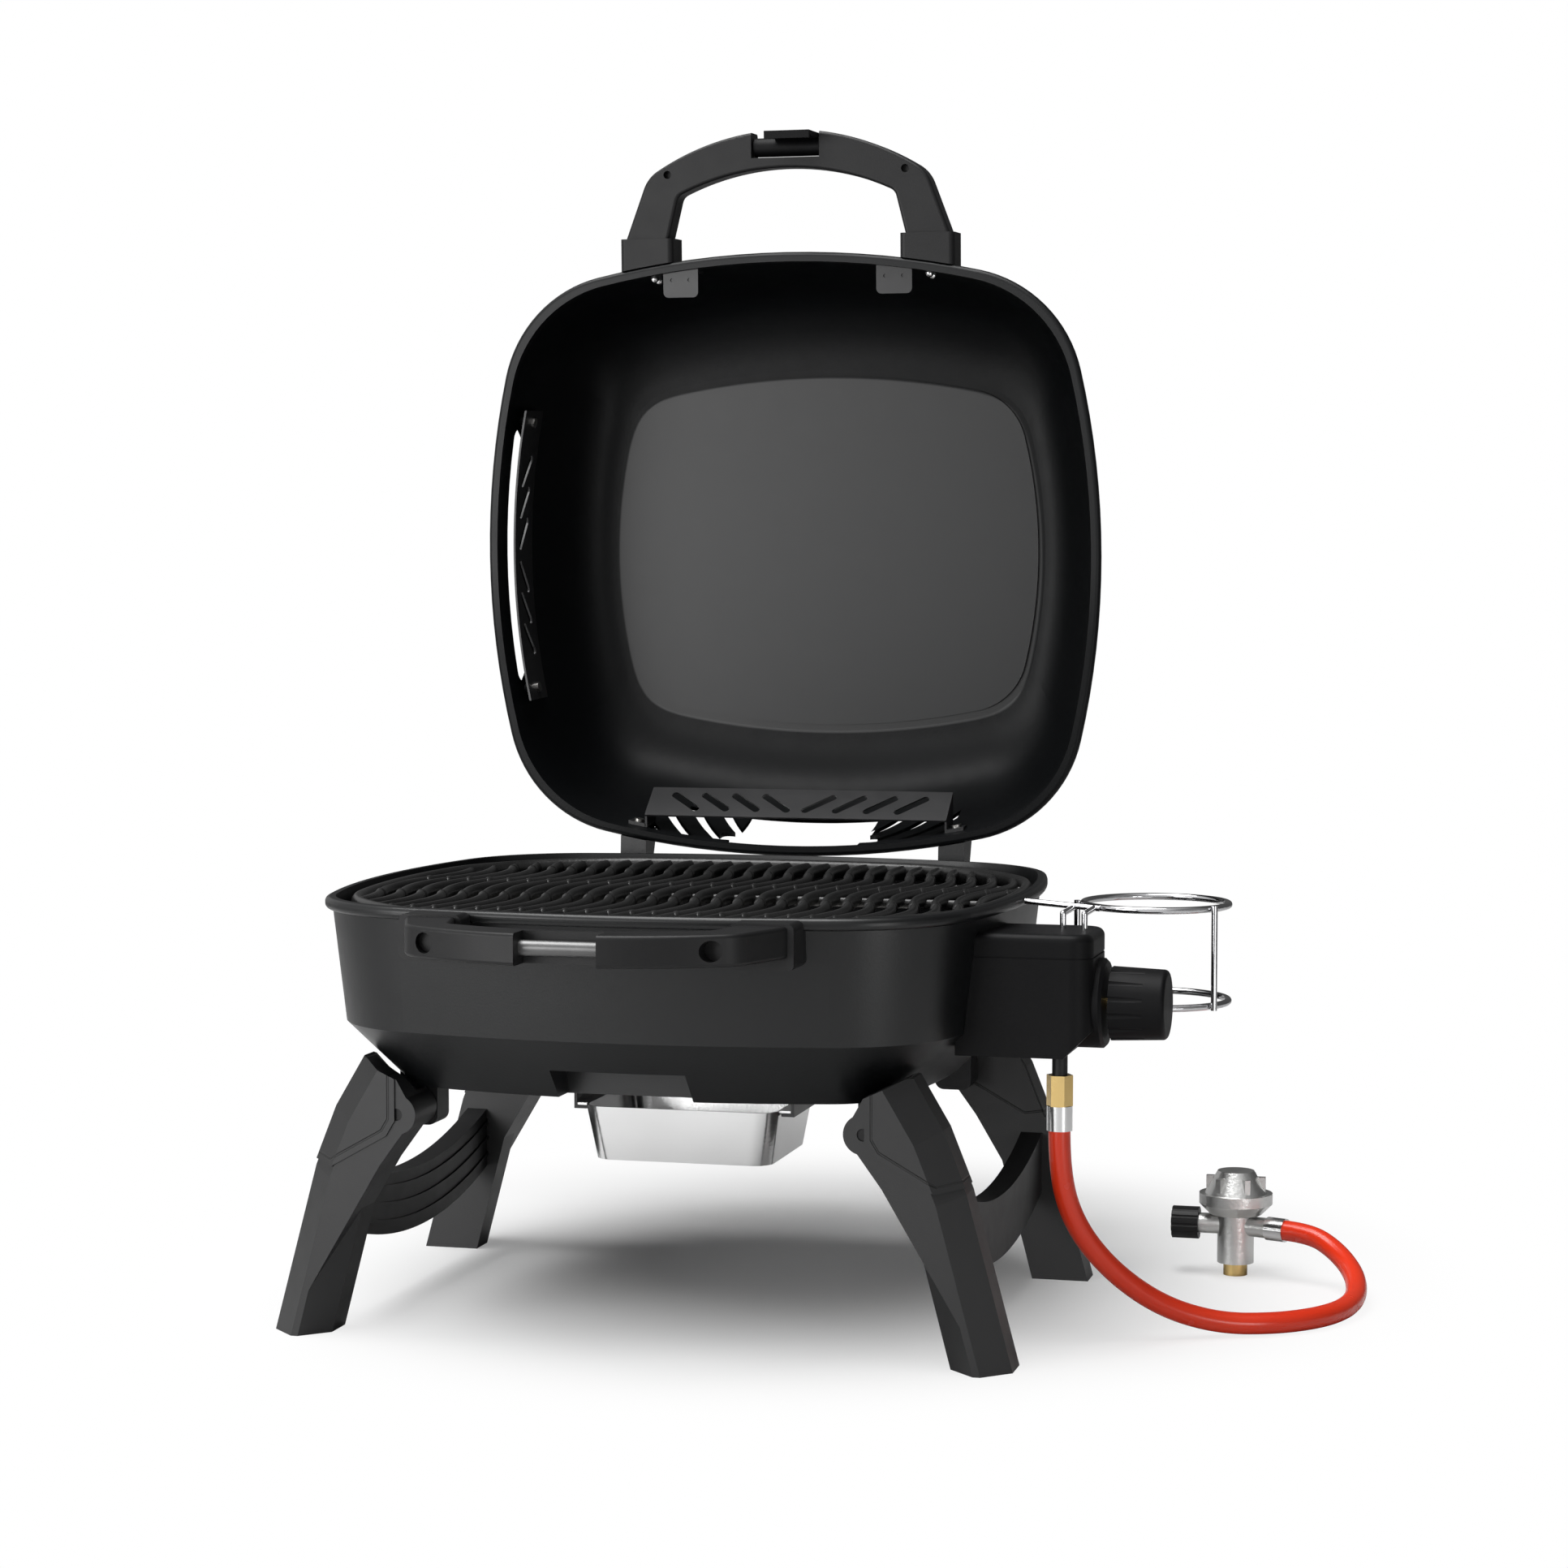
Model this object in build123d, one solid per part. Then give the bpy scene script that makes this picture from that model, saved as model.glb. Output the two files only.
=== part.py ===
"""Portable gas grill with a clam-shell lid, two folding leg frames and a hose with its regulator.

Millimetres. X runs to the control box, Y to the hinges, Z up. The model is drawn about the middle
of the firebox rim, with the feet on z = 0, and is moved at the end so that its origin lies under
the middle of its bounding box.
"""
import os
from math import asin, cos, degrees, radians, sin, sqrt, tan

from build123d import *

# Firebox
RIM_W = 465
RIM_D = 448
RIM_Z = 290
CORNER_R = 98
BULGE = 0.07
LIP = 4
LIP_H = 8
WALL = 2.5
CREASE_Z = 208
CREASE_INSET = 9
PAN_Z = 166
PAN_INSET = 40
RECESS_W = 90
RECESS_H = 20
DRAIN_R = 14

# Cooking grate
GRATE_GAP = 3
GRATE_T = 8
GRATE_DROP = 7
LEDGE_W = 9
LEDGE_H = 4
FRAME_W = 7
BAR_W = 5.5
BAR_PITCH = 20
WAVE_HALF = 52
WAVE_R = 60

# Burner
BURNER_W = 250
BURNER_D = 220
BURNER_R = 8
JET_GAP = 6
POST_R = 4
TENT_W = 290
TENT_D = 260
TENT_HOLE = 130
TENT_Z = 250
TENT_T = 1.5
TENT_SKIRT = 10
TENT_LEG = 12
TENT_LEG_X = 50
TENT_R = 60
TENT_HOLE_D = 100
TENT_HOLE_R = 40

# Lid, drawn shut and then opened about the hinge line
LID_OVER_SIDE = 4
LID_OVER_END = 2
LID_GAP = 1
LID_H = 128
LID_WALL_H = 50
LID_WALL_IN = 5
LID_SHOULDER_H = 104
LID_SHOULDER_IN = 26
LID_WALL = 3
CROWN_W = 352
CROWN_D = 288
CROWN_R = 56
PANEL_IN = 8
PANEL_STEP = 2.5
OPEN_ANGLE = 88
HINGE_OUT = 12
HINGE_DROP = 14
HINGE_X = 124
EYE_R = 8
PIN_R = 2.5
LEAF_W = 20
CHEEK_T = 5
SIDE_GAP = 0.5
FIT = 0.05

# Vent baffles inside the lid
REAR_BAFFLE_L = 236
REAR_BAFFLE_H = 32
REAR_GAP = 20
REAR_LEAN = 36
TAB_L = 13
TAB_H = 13
TAB_T = 3.5
SIDE_BAFFLE_END = 115
SIDE_BAFFLE_H = 40
BAFFLE_Z = 12
BAFFLE_GAP = 9
BAFFLE_T = 1.5
SLOT_PITCH = 24
SLOT_L = 30
SLOT_W = 6
SLOT_LEAN = 38
WINDOW_END = 14
WINDOW_H = 20
REAR_WINDOW_W = 124
REAR_WINDOW_H = 26
SCREW_END = 9
BOSS_R = 4
CLIP_W = 27
CLIP_T = 2
CLIP_X = 82
CLIP_PAD = 14
CLIP_TONGUE = 20
CLIP_DOT_R = 1.4

# Handles: the same loop on the lid and, turned over, on the firebox
LOOP_REACH = 78
LOOP_ROOT_W = 248
LOOP_TOP_W = 214
LOOP_RISE = 33
LOOP_ARM = 33
LOOP_BAR = 28
LOOP_EYE_W = 166
LOOP_EYE_RISE = 19
LOOP_T = 20
LOOP_OUT_R = 26
LOOP_EDGE = 2.5
LOOP_IN_R = 8
HANDLE_GAP = 5
NOTCH_W = 52
NOTCH_D = 20.5
SOCKET_T = 29
SOCKET_L = 12
SOCKET_ROOT = 40
SOCKET_LIP = 4
ROD_R = 4.8
ROD_DEPTH = 15.2
SCREW_X = 91
SCREW_IN = 31
SCREW_R = 3
SCREW_DEPTH = 6
SCREW_HEAD_R = 6.5
LATCH_L = 50
LATCH_R = 7
LATCH_DEPTH = 12.4
LATCH_W = 34
LATCH_T = 3.5
LATCH_FRONT = 3.2
LATCH_TOE = 2.1
LATCH_TURN = 7.5
TOE_GAP = 2.5
# Control box, valve and knob
BOX_X = 290
BOX_Y = -78
BOX_D = 68
BOX_TOP = 273
BOX_BOTTOM = 194
BOX_WALL = 2.5
BOX_EDGE = 14
BOX_TOP_R = 5
BOX_CHAMFER = 17.5
BOX_LINE_DROP = 15
BOX_LINE_H = 1.2
BOX_LINE_D = 0.8
KNOB_Y = -74
KNOB_Z = 226
KNOB_R = 24
KNOB_L = 36
KNOB_FLUTES = 14
KNOB_FLUTE_L = 22
KNOB_TAPER = 1.5
KNOB_EDGE = 3
COLLAR_R = 29
COLLAR_T = 5
COLLAR_EDGE = 2
KNOB_PUSH = 3
STEM_R = 4
ROTOR_R = 9
VALVE_R = 13
VALVE_X = 244
ROTOR_X = 250
ROTOR_L = 14
STUB_X = 266
STUB_Y = -85
STUB_R = 5
NUT_AF = 15
NUT_TOP = 180
NUT_H = 20
FERRULE_R = 8.3

# Wire holder
RING_X = 314
RING_Y = 6
RING_R = 48
WIRE_R = 2.3
STAY_R = 2
UPRIGHT_TURNS = (-35, 195)
STAY_TURN = 234
RING_Z = 283
RING_LOW_Z = 219

# Drip tray
TRAY_W = 136
TRAY_D = 116
TRAY_H = 37
TRAY_FRONT = -52
TRAY_TOP = 141
TRAY_R = 14
TRAY_WALL = 1.5
FLANGE = 7
RAIL_T = 2
RAIL_GAP = 0.5

# Leg frames
LEG_FOOT_IN = 209
LEG_FOOT_OUT = 249
LEG_KNEE = (219, 112)
LEG_SHOULDER = (203, 152)
LEG_TOP = (184, 186)
LEG_CROOK = [(168, 116), (187, 84)]
LEG_IN = 130
LEG_OUT = 170
LEG_CHAMFER = 17
PANEL_RISE = 1.2
LEG_PANEL = [(157, 190), (157, 146), (163, 136), (202, 114), (230, 118), (230, 190)]
PIVOT_X = 156
PIVOT_Z = 150
PIVOT_R = 13
LEG_PIN_R = 4
LUG_T = 22
LUG_GAP = 1.5
LUG_REACH = 9
PAN_CLEAR = 3
BAR_X = 208
BAR_T = 15
BAR_H = 42
BAR_END_Z = 84
BAR_MID_Z = 66
BAR_RIDGE_H = 2.5
BAR_RIDGE_T = 1.2
BAR_RIDGE_PITCH = 12

# Gas hose and regulator
HOSE_R = 7.2
REG_PORT_L = 26
FERRULE_LOW_L = 14
REG_BODY_R = 26
REG_NECK_R = 13
REG_BODY_Z = 44
REG_BODY_H = 15
REG_CAP_H = 16
REG_FOOT_H = 9
REG_FOOT_R = 8.5
WHEEL_R = 11.5
WHEEL_L = 19
WHEEL_FROM = 26

HOSE_ROUTE = [
    (266, -85, 144),
    (266, -85, 115),
    (275, -76, 80),
    (296, -58, 48),
    (326, -37, 22),
    (361, -19, 9),
    (396, -4, 7.5),
    (423, 21, 7.5),
    (438, 55, 7.5),
    (442, 92, 10),
    (436, 124, 18),
    (421, 148, 28),
    (403, 160.3, 36),
    (384.3, 167.5, 36),
]

# Positions that follow from the sizes above
LID_W = RIM_W + 2 * LID_OVER_SIDE
LID_D = RIM_D + 2 * LID_OVER_END
SIDE_BAFFLE_L = LID_D - 2 * SIDE_BAFFLE_END
HINGE_Y = RIM_D / 2 + HINGE_OUT
HINGE_Z = RIM_Z - HINGE_DROP
LID_Z = RIM_Z + LID_GAP
WALL_W = RIM_W - 2 * LIP
WALL_D = RIM_D - 2 * LIP
GRATE_Z = RIM_Z - GRATE_DROP - GRATE_T
FRONT_HANDLE_Z = RIM_Z - HANDLE_GAP / 2 - LOOP_T
LID_HANDLE_Z = LID_Z + HANDLE_GAP / 2
HOSE_END = Vector(*HOSE_ROUTE[-1])
PORT_DIR = (Vector(*HOSE_ROUTE[-2]) - HOSE_END).normalized()
REG_X, REG_Y, REG_PORT_Z = HOSE_END - PORT_DIR * (REG_PORT_L + FERRULE_LOW_L)
BURNER_Z = KNOB_Z
MIXER_Y = KNOB_Y
PAN_W = WALL_W - 2 * CREASE_INSET - 2 * PAN_INSET
PAN_D = WALL_D - 2 * CREASE_INSET - 2 * PAN_INSET


def outline(width, depth, corner=CORNER_R):
    """A four-sided outline with bowed sides and round corners."""
    bulge = BULGE * min(width, depth)
    x, y = width / 2 - bulge, depth / 2 - bulge
    sides = [
        ThreePointArc((-x, -y), (0, -depth / 2), (x, -y)),
        ThreePointArc((x, -y), (width / 2, 0), (x, y)),
        ThreePointArc((x, y), (0, depth / 2), (-x, y)),
        ThreePointArc((-x, y), (-width / 2, 0), (-x, -y)),
    ]
    face = make_face(sides)
    return fillet(face.vertices(), corner)


def bow_radius(width, depth):
    """Radius of the bowed side of that width."""
    bulge = BULGE * min(width, depth)
    half = width / 2 - bulge
    return (half**2 + bulge**2) / (2 * bulge)


def bow(width, depth, away):
    """How far the bowed side of that width has drawn in at a distance from its middle."""
    radius = bow_radius(width, depth)
    return radius - (radius**2 - away**2) ** 0.5


def on_rear(width, depth, away, z):
    """A place on the bowed rear of an outline, with +Z square out of it."""
    turn = degrees(asin(away / bow_radius(width, depth)))
    return Pos(away, depth / 2 - bow(width, depth, away), z) * Rot(0, 0, -turn) * Rot(-90, 0, 0)


def plate(sketch, z, thickness):
    """A sketch raised from height z."""
    return Pos(0, 0, z) * extrude(sketch, thickness)


def rod(start, end, radius):
    """A round rod between two points."""
    axis = Vector(*end) - Vector(*start)
    plane = Plane(origin=Vector(*start), z_dir=axis)
    return plane * Cylinder(radius, axis.length, align=(Align.CENTER, Align.CENTER, Align.MIN))


def both(make, x):
    """The same piece on the left and on the right."""
    return [make(-x), make(x)]


def opened(shape):
    """Turn a piece that was drawn on the shut lid to where it stands when the lid is open."""
    return shape.rotate(Axis((0, HINGE_Y, HINGE_Z), (1, 0, 0)), -OPEN_ANGLE)


def bowl(inset, floor_z, top_z):
    """The solid inside the firebox wall: a steep upper wall, a crease and a tapered pan."""
    crease = CREASE_INSET + inset
    pan = crease + PAN_INSET
    sections = [
        Pos(0, 0, top_z) * outline(WALL_W - 2 * inset, WALL_D - 2 * inset, CORNER_R - LIP - inset),
        Pos(0, 0, CREASE_Z) * outline(WALL_W - 2 * crease, WALL_D - 2 * crease, CORNER_R - LIP - crease),
        Pos(0, 0, floor_z) * outline(WALL_W - 2 * pan, WALL_D - 2 * pan, CORNER_R - LIP - pan),
    ]
    return loft(sections, ruled=True)


def recess(grow):
    """The step in the front of the pan that leaves room to grip the drip tray."""
    depth = PAN_INSET / 2 + grow
    front = -PAN_D / 2 - PAN_INSET
    width = RECESS_W + 2 * grow
    block = Box(width, PAN_INSET + depth, 2 * RECESS_H, align=(Align.CENTER, Align.MIN, Align.CENTER))
    return Pos(0, front, PAN_Z + grow) * block


def box_rim():
    """The block that the firebox's rolled lip is cut from."""
    return plate(outline(RIM_W, RIM_D), RIM_Z - LIP_H, LIP_H)


def lid_rim():
    """The block that the lid's rolled lip is cut from."""
    return plate(outline(LID_W, LID_D), LID_Z, LIP_H)


def rolled(rim):
    """A rim block with its long edges rounded over."""
    return fillet(rim.faces().filter_by(Axis.Z).edges(), LIP - 0.6)


def firebox():
    """Cast bowl with a rolled lip, a ledge for the grate, a drain hole and a burner port."""
    outer = bowl(0, PAN_Z, RIM_Z) - recess(0)
    inner = bowl(WALL, PAN_Z + WALL, RIM_Z + 1) - recess(WALL)
    shell = outer + rolled(box_rim()) - inner
    ledge = plate(outline(WALL_W - WALL, WALL_D - WALL, CORNER_R - LIP - WALL), GRATE_Z - LEDGE_H, LEDGE_H)
    hole = WALL + LEDGE_W
    ledge -= plate(outline(WALL_W - 2 * hole, WALL_D - 2 * hole, CORNER_R - LIP - hole), GRATE_Z - LEDGE_H, LEDGE_H)
    ledge &= bowl(WALL / 2, PAN_Z, RIM_Z)
    shell += ledge
    shell -= Pos(0, 0, PAN_Z) * Cylinder(DRAIN_R, 4 * WALL)
    port = rod((BURNER_W / 2, MIXER_Y, BURNER_Z), (BOX_X, MIXER_Y, BURNER_Z), BURNER_R + FIT)
    return shell - port


def wave(x):
    """Centre line of one grate bar: arcs that swing left and right from front to back."""
    step = 2 * WAVE_HALF
    sag = WAVE_R - (WAVE_R**2 - (WAVE_HALF / 2) ** 2) ** 0.5
    reach = int(RIM_D / WAVE_HALF / 2) + 1
    arcs = []
    for i in range(-reach, reach):
        y = i * WAVE_HALF
        side = sag if i % 2 else -sag
        arcs.append(ThreePointArc((x, y), (x + side, y + step / 4), (x, y + step / 2)))
    return arcs


def cooking_grate():
    """Cast grate of parallel wave bars, tied by short links, inside a frame of the bowl's outline."""
    side = WALL + GRATE_GAP
    width, depth, corner = WALL_W - 2 * side, WALL_D - 2 * side, CORNER_R - LIP - side
    whole = outline(width, depth, corner)
    inside = outline(width - 2 * FRAME_W, depth - 2 * FRAME_W, corner - FRAME_W)
    count = int(width / BAR_PITCH / 2)
    bars = Sketch()
    for i in range(-count, count + 1):
        bars += trace(wave(i * BAR_PITCH), BAR_W)
    for y in (-2 * WAVE_HALF, 0, 2 * WAVE_HALF):
        bars += Pos(0, y) * Rectangle(width, BAR_W)
    return plate((whole - inside) + (bars & whole), GRATE_Z, GRATE_T)


def burner_tube():
    """Rounded loop of steel tube with its mixing tube running out to the valve."""
    path = RectangleRounded(BURNER_W, BURNER_D, BURNER_D / 3).wire()
    loop_path = Pos(0, 0, BURNER_Z) * path
    start = Plane(origin=loop_path @ 0, z_dir=loop_path % 0)
    loop = sweep(start * Circle(BURNER_R), path=loop_path)
    mixer = rod((BURNER_W / 2 - BURNER_R, MIXER_Y, BURNER_Z), (VALVE_X - JET_GAP, MIXER_Y, BURNER_Z), BURNER_R)
    posts = [
        rod((0, y, PAN_Z + WALL), (0, y, BURNER_Z), POST_R)
        for y in (-BURNER_D / 2, BURNER_D / 2)
    ]
    return loop + mixer + posts


def heat_tent():
    """Pressed steel cover over the burner, with a turned-down skirt and four legs."""
    ring = RectangleRounded(TENT_W, TENT_D, TENT_R) - RectangleRounded(TENT_HOLE, TENT_HOLE_D, TENT_HOLE_R)
    top = plate(ring, TENT_Z, TENT_T)
    rim = RectangleRounded(TENT_W, TENT_D, TENT_R)
    rim -= RectangleRounded(TENT_W - 2 * TENT_T, TENT_D - 2 * TENT_T, TENT_R - TENT_T)
    skirt = plate(rim, TENT_Z - TENT_SKIRT, TENT_SKIRT)
    foot = PAN_Z + WALL
    leg = Box(TENT_LEG, TENT_T, TENT_Z - foot, align=(Align.CENTER, Align.CENTER, Align.MIN))
    y = TENT_D / 2 - TENT_T / 2
    legs = [Pos(x, side * y, foot) * leg for x in (-TENT_LEG_X, TENT_LEG_X) for side in (-1, 1)]
    return top + skirt + legs


def dome(inset):
    """The solid inside the lid: steep wall, rounded shoulder and flat crown."""
    wall_w, wall_d = LID_W - 2 * LIP - 2 * inset, LID_D - 2 * LIP - 2 * inset
    corner = CORNER_R - inset
    shoulder = 2 * LID_SHOULDER_IN
    steps = [
        (0, wall_w, wall_d, corner),
        (LID_WALL_H, wall_w - 2 * LID_WALL_IN, wall_d - 2 * LID_WALL_IN, corner - LID_WALL_IN),
        (LID_SHOULDER_H, wall_w - shoulder, wall_d - shoulder, corner - LID_SHOULDER_IN),
        (LID_H - inset, CROWN_W - 2 * inset, CROWN_D - 2 * inset, CROWN_R - inset),
    ]
    return loft([Pos(0, 0, LID_Z + z) * outline(w, d, r) for z, w, d, r in steps])


def wall_plane(side):
    """Plane of a vent baffle: upright inside the left wall (-1), or leaning in from the rear wall (0)."""
    if side:
        x = side * (LID_W / 2 - LIP - LID_WALL - BAFFLE_GAP)
        return Plane(origin=(x, 0, LID_Z + BAFFLE_Z), x_dir=(0, side, 0), z_dir=(side, 0, 0))
    y = LID_D / 2 - LIP - LID_WALL - REAR_GAP
    lean = radians(REAR_LEAN)
    return Plane(origin=(0, y, LID_Z + BAFFLE_Z), x_dir=(-1, 0, 0), z_dir=(0, cos(lean), sin(lean)))


def lid_strip(inset, thickness, height):
    """A band that follows the lid's outline at an inset, from the baffles' near edge inwards."""
    outer = outline(LID_W - 2 * inset, LID_D - 2 * inset, CORNER_R - inset)
    far = inset + thickness
    inner = outline(LID_W - 2 * far, LID_D - 2 * far, CORNER_R - far)
    return plate(outer - inner, LID_Z + BAFFLE_Z, height)


def fan(length, height):
    """Two mirrored rows of leaning slots."""
    count = int((length / 2 - 2 * SCREW_END) / SLOT_PITCH)
    slots = Sketch()
    for i in range(count):
        x = (i + 0.7) * SLOT_PITCH
        for turn in (-1, 1):
            slots += Pos(turn * x, height / 2) * SlotOverall(SLOT_L, SLOT_W, rotation=turn * SLOT_LEAN)
    return slots


def side_screw_place(side):
    """Place of one screw of the side baffle, with +Z out through the left wall."""
    inset = LIP + LID_WALL + BAFFLE_GAP + BAFFLE_T
    away = side * (SIDE_BAFFLE_L / 2 - SCREW_END)
    return Rot(0, 0, 90) * on_rear(LID_D - 2 * inset, LID_W - 2 * inset, away, LID_Z + BAFFLE_Z + SIDE_BAFFLE_H / 2)


def side_baffle():
    """Sheet steel vent cover that follows the left wall of the lid."""
    sheet = lid_strip(LIP + LID_WALL + BAFFLE_GAP, BAFFLE_T, SIDE_BAFFLE_H)
    sheet &= Pos(-LID_W / 2, 0, LID_Z) * Box(LID_W / 2, SIDE_BAFFLE_L, LID_H)
    sheet -= wall_plane(-1) * extrude(fan(SIDE_BAFFLE_L, SIDE_BAFFLE_H), 3 * BAFFLE_GAP, both=True)
    for side in (-1, 1):
        sheet -= side_screw_place(side) * Cylinder(BOSS_R / 2 + FIT, 4 * BAFFLE_T)
    return sheet


def rear_tab(side):
    """Foot of the rear baffle beside its end, on the rear wall of the lid."""
    x = side * (REAR_BAFFLE_L / 2 + TAB_L / 2)
    keep = Pos(x, LID_D / 2, LID_Z) * Box(TAB_L, LID_D / 2, LID_H)
    return lid_strip(LIP + LID_WALL, TAB_T, TAB_H) & keep & dome(LID_WALL)


def rear_screw_place(side):
    """Place of the screw in one foot of the rear baffle, with +Z out through the rear wall."""
    inset = LIP + LID_WALL + TAB_T
    away = side * (REAR_BAFFLE_L / 2 + TAB_L / 2)
    return on_rear(LID_W - 2 * inset, LID_D - 2 * inset, away, LID_Z + BAFFLE_Z + TAB_H / 2)


def rear_baffle():
    """Sheet steel vent cover that leans in from the rear wall, with an end plate and a foot each side."""
    sheet = RectangleRounded(REAR_BAFFLE_L, REAR_BAFFLE_H, 1)
    sheet = Pos(0, REAR_BAFFLE_H / 2) * sheet - fan(REAR_BAFFLE_L, REAR_BAFFLE_H)
    cover = wall_plane(0) * extrude(sheet, -BAFFLE_T)
    near = wall_plane(0) * Pos(0, 1, 0)
    far = wall_plane(0) * Pos(0, REAR_BAFFLE_H - 1, 0)
    y0, z0, y1, z1 = near.position.Y, near.position.Z, far.position.Y, far.position.Z
    end = Polygon((y0, z0), (LID_D / 2, z0), (LID_D / 2, z1), (y1, z1), align=None)
    for side in (-1, 1):
        x = side * (REAR_BAFFLE_L / 2 - BAFFLE_T / 2) - BAFFLE_T / 2
        plane = Plane(origin=(x, 0, 0), x_dir=(0, 1, 0), z_dir=(1, 0, 0))
        cover += plane * extrude(end, BAFFLE_T) & dome(LID_WALL)
        cover += rear_tab(side)
        cover -= rear_screw_place(side) * Cylinder(BOSS_R / 2 + FIT, 4 * TAB_T)
    return cover


def side_bosses():
    """Bosses on the left wall of the lid that carry the side baffle."""
    post = Pos(0, 0, BAFFLE_T + 2 * FIT) * extrude(Circle(BOSS_R), 2 * BAFFLE_GAP)
    return [side_screw_place(side) * post for side in (-1, 1)]


def screw(head_r, length):
    """A pan-head screw with its seat at the origin and its shank along +Z."""
    head = Cylinder(head_r, head_r / 2, align=(Align.CENTER, Align.CENTER, Align.MAX))
    shank = Cylinder(head_r / 2, length, align=(Align.CENTER, Align.CENTER, Align.MIN))
    return head + shank


def vent_screws():
    """The four screws that hold the two baffles, each just clear of the bowed sheet."""
    loose = Pos(0, 0, -FIT / 2)
    sides = [side_screw_place(side) * loose * screw(BOSS_R, BAFFLE_T) for side in (-1, 1)]
    return sides + [rear_screw_place(side) * loose * screw(BOSS_R, TAB_T / 3) for side in (-1, 1)]


def lid():
    """Cast lid with a rolled rim, a stepped ceiling panel, two vent windows and baffle bosses."""
    outer = dome(0)
    shell = outer + rolled(lid_rim()) - dome(LID_WALL)
    ceiling = LID_Z + LID_H - LID_WALL
    panel = outline(CROWN_W - 2 * PANEL_IN, CROWN_D - 2 * PANEL_IN, CROWN_R - PANEL_IN)
    shell += plate(panel, ceiling - PANEL_STEP, PANEL_STEP + LID_WALL / 2)
    side_window = RectangleRounded(SIDE_BAFFLE_L - 2 * WINDOW_END, WINDOW_H, WINDOW_H / 3)
    shell -= wall_plane(-1) * Pos(0, SIDE_BAFFLE_H / 2) * extrude(side_window, 4 * BAFFLE_GAP)
    rear_window = RectangleRounded(REAR_WINDOW_W, REAR_WINDOW_H, WINDOW_H / 3)
    rear_face = Plane(origin=(0, LID_D / 4, LID_Z + BAFFLE_Z + REAR_WINDOW_H / 2), x_dir=(-1, 0, 0), z_dir=(0, 1, 0))
    shell -= rear_face * extrude(rear_window, LID_D / 2)
    for boss in side_bosses():
        shell += boss & outer
    return shell


def arch(width, spring, rise):
    """The far side of a loop: an arc between two points on it and its crest."""
    return ThreePointArc((width / 2, -spring), (0, -spring - rise), (-width / 2, -spring))


def loop():
    """Carrying loop seen from above: two leaning arms, an arched bar and the notch in its middle."""
    root = LOOP_ROOT_W / 2
    far = arch(LOOP_TOP_W, LOOP_REACH - LOOP_RISE, LOOP_RISE)
    outer = make_face([far, Line(far @ 1, (-root, 0)), Line((-root, 0), (root, 0)), Line((root, 0), far @ 0)])
    outer = fillet(outer.vertices().group_by(Axis.Y)[0], LOOP_OUT_R)
    eye = root - LOOP_ARM
    near = arch(LOOP_EYE_W, LOOP_REACH - LOOP_BAR - LOOP_EYE_RISE, LOOP_EYE_RISE)
    inner = make_face([near, Line(near @ 1, (-eye, 1)), Line((-eye, 1), (eye, 1)), Line((eye, 1), near @ 0)])
    inner = fillet(inner.vertices().group_by(Axis.Y)[0], LOOP_IN_R)
    notch = Pos(0, -LOOP_REACH) * Rectangle(NOTCH_W, 2 * NOTCH_D)
    return outer - inner - notch


def handle(wall_y, z, depth, bore_r):
    """One carrying loop with the bore for what spans its notch."""
    body = Pos(0, -wall_y - SOCKET_L, z) * extrude(loop(), LOOP_T)
    far = [e for e in body.edges().filter_by(GeomType.CIRCLE) if e.length > LOOP_BAR]
    body = fillet(far, LOOP_EDGE)
    y = depth - wall_y - SOCKET_L - LOOP_REACH
    reach = NOTCH_W / 2 + LOOP_T / 2
    return body - rod((-reach, y, z + LOOP_T / 2), (reach, y, z + LOOP_T / 2), bore_r)


def front_handle():
    """The firebox's loop, with a screw recess in the front of each corner."""
    body = handle(RIM_D / 2, FRONT_HANDLE_Z, ROD_DEPTH, ROD_R)
    front = -RIM_D / 2 - SOCKET_L - LOOP_REACH
    z = FRONT_HANDLE_Z + LOOP_T / 2
    for x in (-SCREW_X, SCREW_X):
        body -= rod((x, front, z), (x, front + LOOP_RISE, z), SCREW_HEAD_R)
    return body


def lid_handle():
    """The lid's loop, with a screw hole in the underside of each corner."""
    body = handle(LID_D / 2, LID_HANDLE_Z, LATCH_DEPTH, PIN_R)
    y = SCREW_IN - LID_D / 2 - SOCKET_L - LOOP_REACH
    for x in (-SCREW_X, SCREW_X):
        body -= rod((x, y, LID_HANDLE_Z - 1), (x, y, LID_HANDLE_Z + SCREW_DEPTH), SCREW_R)
    return body


def sockets(wall_y, z, wall, rim):
    """The two moulded sockets that carry a loop's arms, scribed to the wall and the rim behind them."""
    width = LOOP_ARM + 2 * SOCKET_LIP
    block = Box(width, SOCKET_L + SOCKET_ROOT, SOCKET_T, align=(Align.CENTER, Align.MIN, Align.MIN))
    block = fillet(block.edges().filter_by(Axis.Y), SOCKET_LIP)
    x = LOOP_ROOT_W / 2 - LOOP_ARM / 2
    return [Pos(side * x, -wall_y - SOCKET_L, z) * block - wall - rim for side in (-1, 1)]


def bar_rod(wall_y, z):
    """The steel rod across the notch of the firebox handle, which the latch catches."""
    y = ROD_DEPTH - wall_y - SOCKET_L - LOOP_REACH
    reach = NOTCH_W / 2 + LOOP_T / 2
    return rod((-reach, y, z + LOOP_T / 2), (reach, y, z + LOOP_T / 2), ROD_R)


def latch_axis():
    """Middle of the latch pin on the shut lid."""
    return (0, LATCH_DEPTH - LID_D / 2 - SOCKET_L - LOOP_REACH, LID_HANDLE_Z + LOOP_T / 2)


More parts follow.
